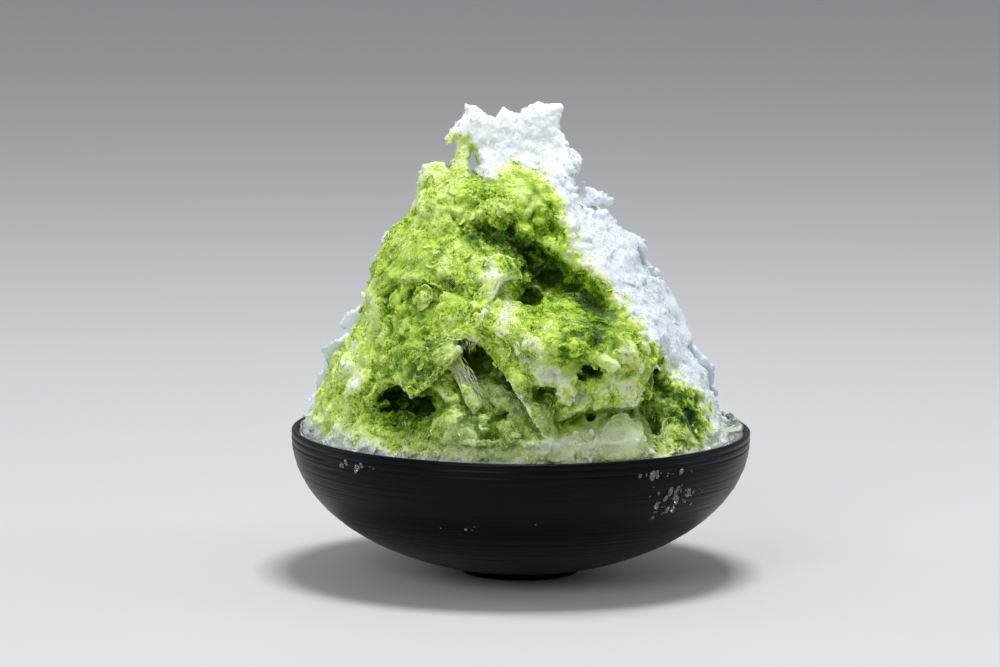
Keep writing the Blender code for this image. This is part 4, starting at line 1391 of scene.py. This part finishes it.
def shareOut(ground):
    # how thickly each kind of loose ice lies at each point
    place = coordinates(ground)
    read = {name: readMark(ground, name)
            for name in ("syrup", "wet", "tea", "rim", "soak", "calm", "stands")}
    up = (place[:, 2] - rimZ) / mm
    outer = np.hypot(place[:, 0], place[:, 1]) / mm
    above = smoothStep(-2.4, -1.4, up) * smoothStep(112.6, 111.6, up) * smoothStep(79.0, 78.0, outer)
    green = smoothStep(0.02, 0.2, read["syrup"])
    white = 1.0 - green
    broken = smoothStep(-0.35, 0.35, wobble(place, 8 * mm, 5.0))
    drifts = smoothStep(-0.05, 0.4, wobble(place, 5 * mm, 15.0))
    dustings = smoothStep(-0.25, 0.45, wobble(place, 6 * mm, 8.0))
    wet, soak, stands, calm = np.clip(read["wet"], 0, 1), read["soak"], read["stands"], read["calm"]
    room = (1.0 - 0.85 * stands) * (1.0 - 0.7 * wet) * (1.0 - 0.7 * soak) * (1.0 - calm)
    shares = {
        "shavingShare": above * room * (0.25 + 0.75 * broken) * (0.30 + 0.70 * green),
        "flakeShare": above * room * (0.3 + 0.7 * broken),
        "featherShare": above * white * (0.35 + 0.65 * broken) * read["rim"] * stands,
        "whiteShare": above * white * (0.45 + 0.35 * broken) * (1.0 - 0.4 * stands),
        "greenShare": above * green * (1.0 - calm) * (1.0 - 0.75 * wet) * (0.35 + 0.65 * broken),
        "frostShare": above * green * (0.15 + 0.85 * drifts) * (1.0 + smoothStep(12.0, 4.0, up)) * 0.7,
        "powderShare": above * read["tea"] * dustings * (1.0 - 0.6 * read["rim"]) * (1.0 - 0.8 * calm),
    }
    for name, values in shares.items():
        writeMark(ground, name, values)


# Needles of ice: thin splinters in bundles. Each bundle runs from one line to the other, the two ends of a
# line given as (across, height, lift); then how many, the longest, and tone. In mm.
needleBundles = (
    (((-26.5, 34, 3), (-22, 35, 4)), ((-20, 24, 1), (-11, 21, 1)), 190, 6.0, -0.22),
    (((-24, 31, 2), (-20, 29, 2)), ((-19, 20, -1), (-9, 16, 0)), 120, 5.0, -0.22),
    (((-37, 37, 1), (-12, 39, 4)), ((-30, 33, 3), (-14, 35, 5)), 110, 4.5, -0.18),
    (((-42, 34, 1), (-30, 36, 2)), ((-38, 24, 3), (-29, 27, 4)), 50, 5.0, -0.2),
    (((-14, 64, 1), (-6, 65, 2.5)), ((-13, 52, 2), (-8, 54, 3.5)), 60, 4.5, -0.35),
    (((-30, 58, 3), (-16, 60, 2)), ((-26, 52, 3), (-14, 54, 2)), 40, 4.0, -0.25),
    (((-14, 23, -3), (2, 22, -1)), ((-8, 18, -1), (8, 12, 0)), 120, 5.0, -0.22),
    (((8, 30, 5), (14, 27, 6)), ((16, 20, 6), (23, 19, 4)), 170, 5.0, -0.27),
    (((0, 8, 3), (12, 7, 3)), ((1, 1, 4), (14, 1, 4)), 60, 2.2, -0.3),
    (((18, 7, 3), (27, 6, 3)), ((18, 1, 4), (28, 1, 4)), 30, 2.0, -0.25),
    (((7, 18, 1), (12, 19, 1)), ((5, 13, 1), (10, 14, 1)), 18, 3.5, -0.15),
    (((36, 27, 6), (41, 26, 5)), ((42, 19, 5), (47, 15, 3)), 64, 5.5, -0.3),
    (((-40, 10, 0), (-37, 10, 0)), ((-39, 1, 1), (-37, 1, 1)), 18, 5.0, -0.6),
    (((62, 10, 2), (66, 8, 2)), ((66, 3, 2), (69, 4, 2)), 14, 4.0, -0.6),
    (((44, 12, -1), (49, 14, -1)), ((47, 3, 1), (52, 5, 1)), 30, 3.0, -0.3),
    (((48, 31, 1), (52, 30, 1)), ((46, 22, 0), (50, 21, 0)), 14, 3.0, -0.3),
    (((-2, 36, 4), (4, 36, 4)), ((0, 31, 5), (8, 31, 5)), 24, 4.0, -0.3),
    (((34, 33, 5), (42, 31, 5)), ((36, 25, 6), (44, 24, 5)), 26, 3.5, -0.3),
)


def makeNeedles(surface, material):
    pick = random.Random(12)
    shells = Shells()
    for *lines, count, longest, tone in needleBundles:
        for _ in range(count):
            share, spread = pick.random(), pick.random()
            ends = []
            for first, second in lines:
                ends.append(frontSpot(surface, *(a + (b - a) * spread for a, b in zip(first, second))))
            ahead = (ends[1] - ends[0]).normalized()
            ahead = (ahead + Vector([pick.uniform(-0.28, 0.28) for _ in range(3)])).normalized()
            middle = ends[0].lerp(ends[1], share) + Vector([pick.uniform(-0.5, 0.5) * mm for _ in range(3)])
            length = longest * pick.uniform(0.4, 1.0) * mm
            side = ahead.cross(Vector((0.3, 0.8, 0.5))).normalized()
            other = ahead.cross(side)
            wide = pick.uniform(0.07, 0.18) * mm
            verts = [middle + side * wide, middle + other * wide * 0.6, middle - side * wide,
                     middle - other * wide * 0.6, middle - ahead * length * 0.5,
                     middle + ahead * length * 0.5]
            faces = [(k, (k + 1) % 4, 5) for k in range(4)] + [((k + 1) % 4, k, 4) for k in range(4)]
            shells.add(verts, faces, tone=tone, soak=0.3)
    return shells.piece("iceNeedles", material)


# Melt water: the line it makes round the foot of the ice, the clear lumps it froze into at both ends of
# the rim, and splashes down the outside of the bowl.
water = {
    "segments": 144,
    "lanes": 8,
    # radius, height, half width, half height
    "line": (rimRadius - 5.0 * mm, -1.5 * mm, 2.0 * mm, 0.6 * mm),
    "lumps": (  # bearing in degrees, then radius, height and half size in mm
        (183, 74.6, 0.2, 2.6), (190, 75.2, -0.2, 1.9), (176, 75.0, 0.4, 2.2), (197, 75.0, 0.0, 1.5),
        (169, 74.6, 0.6, 1.8), (-3, 74.0, 0.6, 2.9), (5, 74.6, 1.0, 2.7), (12, 74.8, 1.2, 2.2),
        (-9, 74.8, -0.1, 1.7), (20, 74.4, 1.0, 2.4), (-16, 75.0, 0.0, 1.4),
    ),
    "splashes": (  # across, height, spread both ways in mm, how many
        (55, -14, 7, 4, 40), (48, -19, 6, 3, 16), (-56, -5.0, 9, 0.8, 14), (46, -5.5, 14, 0.8, 18),
        (-20, -24, 25, 8, 6),
    ),
    "drop": (0.25, 1.0),  # smallest and largest, in mm
}


def makeWater(outside, material):
    pick = random.Random(17)
    shells = Shells()
    verts, faces = [], []
    radius, height, wide, tall = water["line"]
    count, lanes = water["segments"], water["lanes"]
    for k in range(count):
        out = outwards(2.0 * math.pi * k / count)
        grow = 1.3 + 0.5 * noise.noise(out * 5.0)
        for j in range(lanes):
            lean = 2.0 * math.pi * j / lanes
            reach = radius + wide * grow * math.cos(lean)
            verts.append(Vector((out.x * reach, out.y * reach,
                                 rimZ + height + tall * grow * math.sin(lean))))
            ahead, above = (k + 1) % count, (j + 1) % lanes
            faces.append((k * lanes + j, ahead * lanes + j, ahead * lanes + above, k * lanes + above))
    shells.add(verts, faces)
    for index, (bearing, radius, height, size) in enumerate(water["lumps"]):
        out = outwards(math.radians(bearing))
        centre = out * radius * mm + Vector((0.0, 0.0, rimZ + height * mm))
        shells.add(*lumpShell(centre, size * mm, 0.8, Vector((0.0, 0.0, 1.0)), index + 40))
    ball = ballShape(2)
    wall = treeOf([v.co for v in outside.data.vertices], [tuple(p.vertices) for p in outside.data.polygons])
    for across, up, spreadAcross, spreadUp, number in water["splashes"]:
        for _ in range(number):
            place, normal = frontPlace(
                wall, pick.gauss(across, 0.5 * spreadAcross), pick.gauss(up, 0.5 * spreadUp))
            size = water["drop"][0] + (water["drop"][1] - water["drop"][0]) * pick.random() ** 2.5
            run = pick.uniform(1.0, 1.5) if size < 0.7 else pick.uniform(1.3, 2.4)
            if place is None:
                continue
            down = (Vector((0.0, 0.0, -1.0)) + normal * normal.z).normalized()
            side = normal.cross(down)
            drop = [place + (side * v.x + down * v.y * run + normal * (0.5 * v.z + 0.15)) * size * mm
                    for v in ball[0]]
            shells.add(drop, ball[1])
    return shells.piece("meltWater", material)


def clearWater():
    # cold melt water: clear, with sharp small highlights
    material, tree, shader = newMaterial("clearMeltWater")
    place = addNode(tree, "ShaderNodeTexCoord").outputs["Object"]
    ripple = addNode(tree, "ShaderNodeTexNoise", {"Vector": place, "Scale": 1 / (1.4 * mm), "Detail": 1.0})
    ripple = ripple.outputs["Fac"]
    rough = addNode(tree, "ShaderNodeMapRange", {"Value": ripple, "To Min": 0.02, "To Max": 0.12})
    bump = addNode(tree, "ShaderNodeBump", {"Height": ripple, "Strength": 0.25, "Distance": 0.3 * mm})
    feed(tree, shader, {
        "Base Color": linear("#F2F8F4"), "Transmission Weight": 0.9, "IOR": 1.33,
        "Roughness": rough.outputs[0], "Normal": bump.outputs[0]})
    return material


def teaPowder():
    # finely ground green tea, damp: matt, deep green, paler where a grain is drier
    material, tree, shader = newMaterial("groundGreenTea")
    place = addNode(tree, "ShaderNodeTexCoord").outputs["Object"]
    damp = addNode(tree, "ShaderNodeTexNoise", {"Vector": place, "Scale": 1 / (1.1 * mm), "Detail": 2.0})
    damp = damp.outputs["Fac"]
    colour = paint(addNode(tree, "ShaderNodeValToRGB", {"Fac": damp}),
                   ((0.35, "#2E4A05"), (0.68, "#5E8418")))
    rough = addNode(tree, "ShaderNodeMapRange", {"Value": damp, "To Min": 0.45, "To Max": 0.85})
    feed(tree, shader, {"Base Color": colour, "Roughness": rough.outputs[0]})
    return material


def blackGlaze():
    # a satin blue-black glaze over thrown stoneware: soft highlights that break on the turning rings
    material, tree, shader = newMaterial("satinBlackGlaze")
    place = addNode(tree, "ShaderNodeTexCoord").outputs["Object"]
    cloud = addNode(tree, "ShaderNodeTexNoise", {"Vector": place, "Scale": 1 / (16 * mm), "Detail": 4.0})
    cloud = cloud.outputs["Fac"]
    tone = addNode(tree, "ShaderNodeMix", {
        0: cloud, 6: linear("#030409"), 7: linear("#090B12")}, data_type="RGBA")
    rough = addNode(tree, "ShaderNodeMapRange", {"Value": cloud, "To Min": 0.24, "To Max": 0.42})
    feed(tree, shader, {
        "Base Color": tone.outputs[2], "Roughness": rough.outputs[0], "IOR": 1.5,
        "Specular IOR Level": 0.09})
    return material


# Finishes of the ice, each as it differs from soaked, packed ice. Glow is light that goes in and comes out
# again, which fills the shadows of packed grains; paler takes syrup away; gloss is that of a wet face.
iceFinishes = {
    "soakedShavedIce": {"glow": 1.0},
    "broadIceShavings": {"paler": 0.03, "grainBump": 0.22, "gloss": 0.14},  # wet blades, hardly grained
    "packedWhiteIce": {"glow": 1.0, "gloss": 0.06, "dry": "#EFF5FE", "shadow": 0.18},  # dry, nearly snow
    "iceSplinters": {"paler": 0.05, "grainBump": 0.0, "gloss": 0.3},
    "looseIceGrains": {"paler": 0.10, "grainBump": 0.0, "gloss": 0.38},  # glints on single crystals
    "looseSnowGrains": {"paler": 0.10, "grainBump": 0.0, "gloss": 0.38, "dry": "#E6EDF5", "shadow": 0.2},
    "wetIceShavings": {"paler": 0.12, "grainBump": 0.0, "gloss": 0.32},
    "sparklingFrost": {"paler": 0.34, "grainBump": 0.0, "gloss": 0.42},  # white on green
}


print("bowl")
turnedBowl = makeBowl(blackGlaze())
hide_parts("bowl")
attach(turnedBowl, "root")

print("heap")
finishes = {name: shavedIce(name, **finish) for name, finish in iceFinishes.items()}
finishes["groundGreenTea"] = teaPowder()
formVerts, formFaces = makeHeapForm(frontRelief)
plain = treeOf(*makeHeapForm(()))
surface = treeOf(formVerts, formFaces)
core = makeCore(formVerts, formFaces, surface, plain)
addFrost(core, 1.0)
thinOut(core)
core.data.materials.clear()
core.data.materials.append(finishes["soakedShavedIce"])
core.data.shade_smooth()
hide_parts("ice")

print("sheets")
sheets = makeSheets(surface, plain, finishes["broadIceShavings"])
addFrost(sheets, 0.45)
standing = makeCrest(finishes["packedWhiteIce"])
addFrost(standing, 0.7)
needles = makeNeedles(plain, finishes["iceSplinters"])
melt = makeWater(turnedBowl, clearWater())
for piece in (core, sheets, standing, needles, melt):
    if piece is not melt:
        pourSyrup(piece)
    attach(piece, "root")
    report(piece)

print("loose ice")
ground = makeGround((core, sheets, standing))
shareOut(ground)
shapes = {
    "curls": collectShapes("curl", curlShape, 8, 21),
    "plates": collectShapes("plate", plateShape, 7, 22),
    "crystals": collectShapes("crystal", crystalShape, 6, 23),
}
for name in loose:
    strew(name, ground, shapes, finishes)
bpy.data.objects.remove(ground)

camera = {"distance": 2.0, "pitch": 8.0, "roll": 0.4, "aim": Vector((-7.5 * mm, 0.0, 83.4 * mm)),
          "viewWidth": 347 * mm}


def makeStudio():
    material, tree, shader = newMaterial("paleStudioFloor")
    feed(tree, shader, {"Base Color": linear("#C9CACC"), "Roughness": 0.6})
    corners = [(-9, -9, 0), (9, -9, 0), (9, 9, 0), (-9, 9, 0)]
    floor = newPiece("floor", corners, [(0, 1, 2, 3)], material, smooth=False)
    for name, place, size, power, colour in (
        ("key", (0.1, 0.0, 1.4), 0.4, 16.5, "#FFFFFF"),
        ("front", (-0.7, -1.5, 0.9), 0.8, 9.5, "#FFFFFF"),
        ("left", (-1.3, 0.25, 0.5), 0.6, 3.0, "#F4F8FF"),
        ("right", (1.3, 0.1, 0.5), 0.6, 3.0, "#F4F8FF"),
    ):
        data = bpy.data.lights.new(name, "AREA")
        data.size = size
        data.energy = power
        data.color = linear(colour)[:3]
        light = bpy.data.objects.new(name, data)
        scene.collection.objects.link(light)
        light.location = place
        ahead = Vector((0.0, 0.0, 0.08)) - light.location
        light.rotation_euler = ahead.to_track_quat("-Z", "Y").to_euler()
    world = bpy.data.worlds.new("studio")
    scene.world = world
    world.use_nodes = True
    background = world.node_tree.nodes["Background"]
    feed(world.node_tree, background, {"Color": linear("#E6E9EE"), "Strength": 0.42})
    scene.view_settings.view_transform = "Standard"


def makeCamera():
    data = bpy.data.cameras.new("camera")
    data.sensor_width = 36.0
    data.lens = 36.0 * camera["distance"] / camera["viewWidth"]
    eye = bpy.data.objects.new("camera", data)
    scene.collection.objects.link(eye)
    pitch = math.radians(camera["pitch"])
    back = Vector((0.0, -math.cos(pitch), math.sin(pitch)))
    eye.location = camera["aim"] + back * camera["distance"]
    look = (-back).to_track_quat("-Z", "Y").to_matrix()
    turn = math.radians(camera["roll"])
    eye.rotation_euler = (look @ Matrix.Rotation(turn, 3, "Z")).to_euler()
    data.clip_start = 0.05
    data.clip_end = 40.0
    scene.camera = eye


makeStudio()
makeCamera()
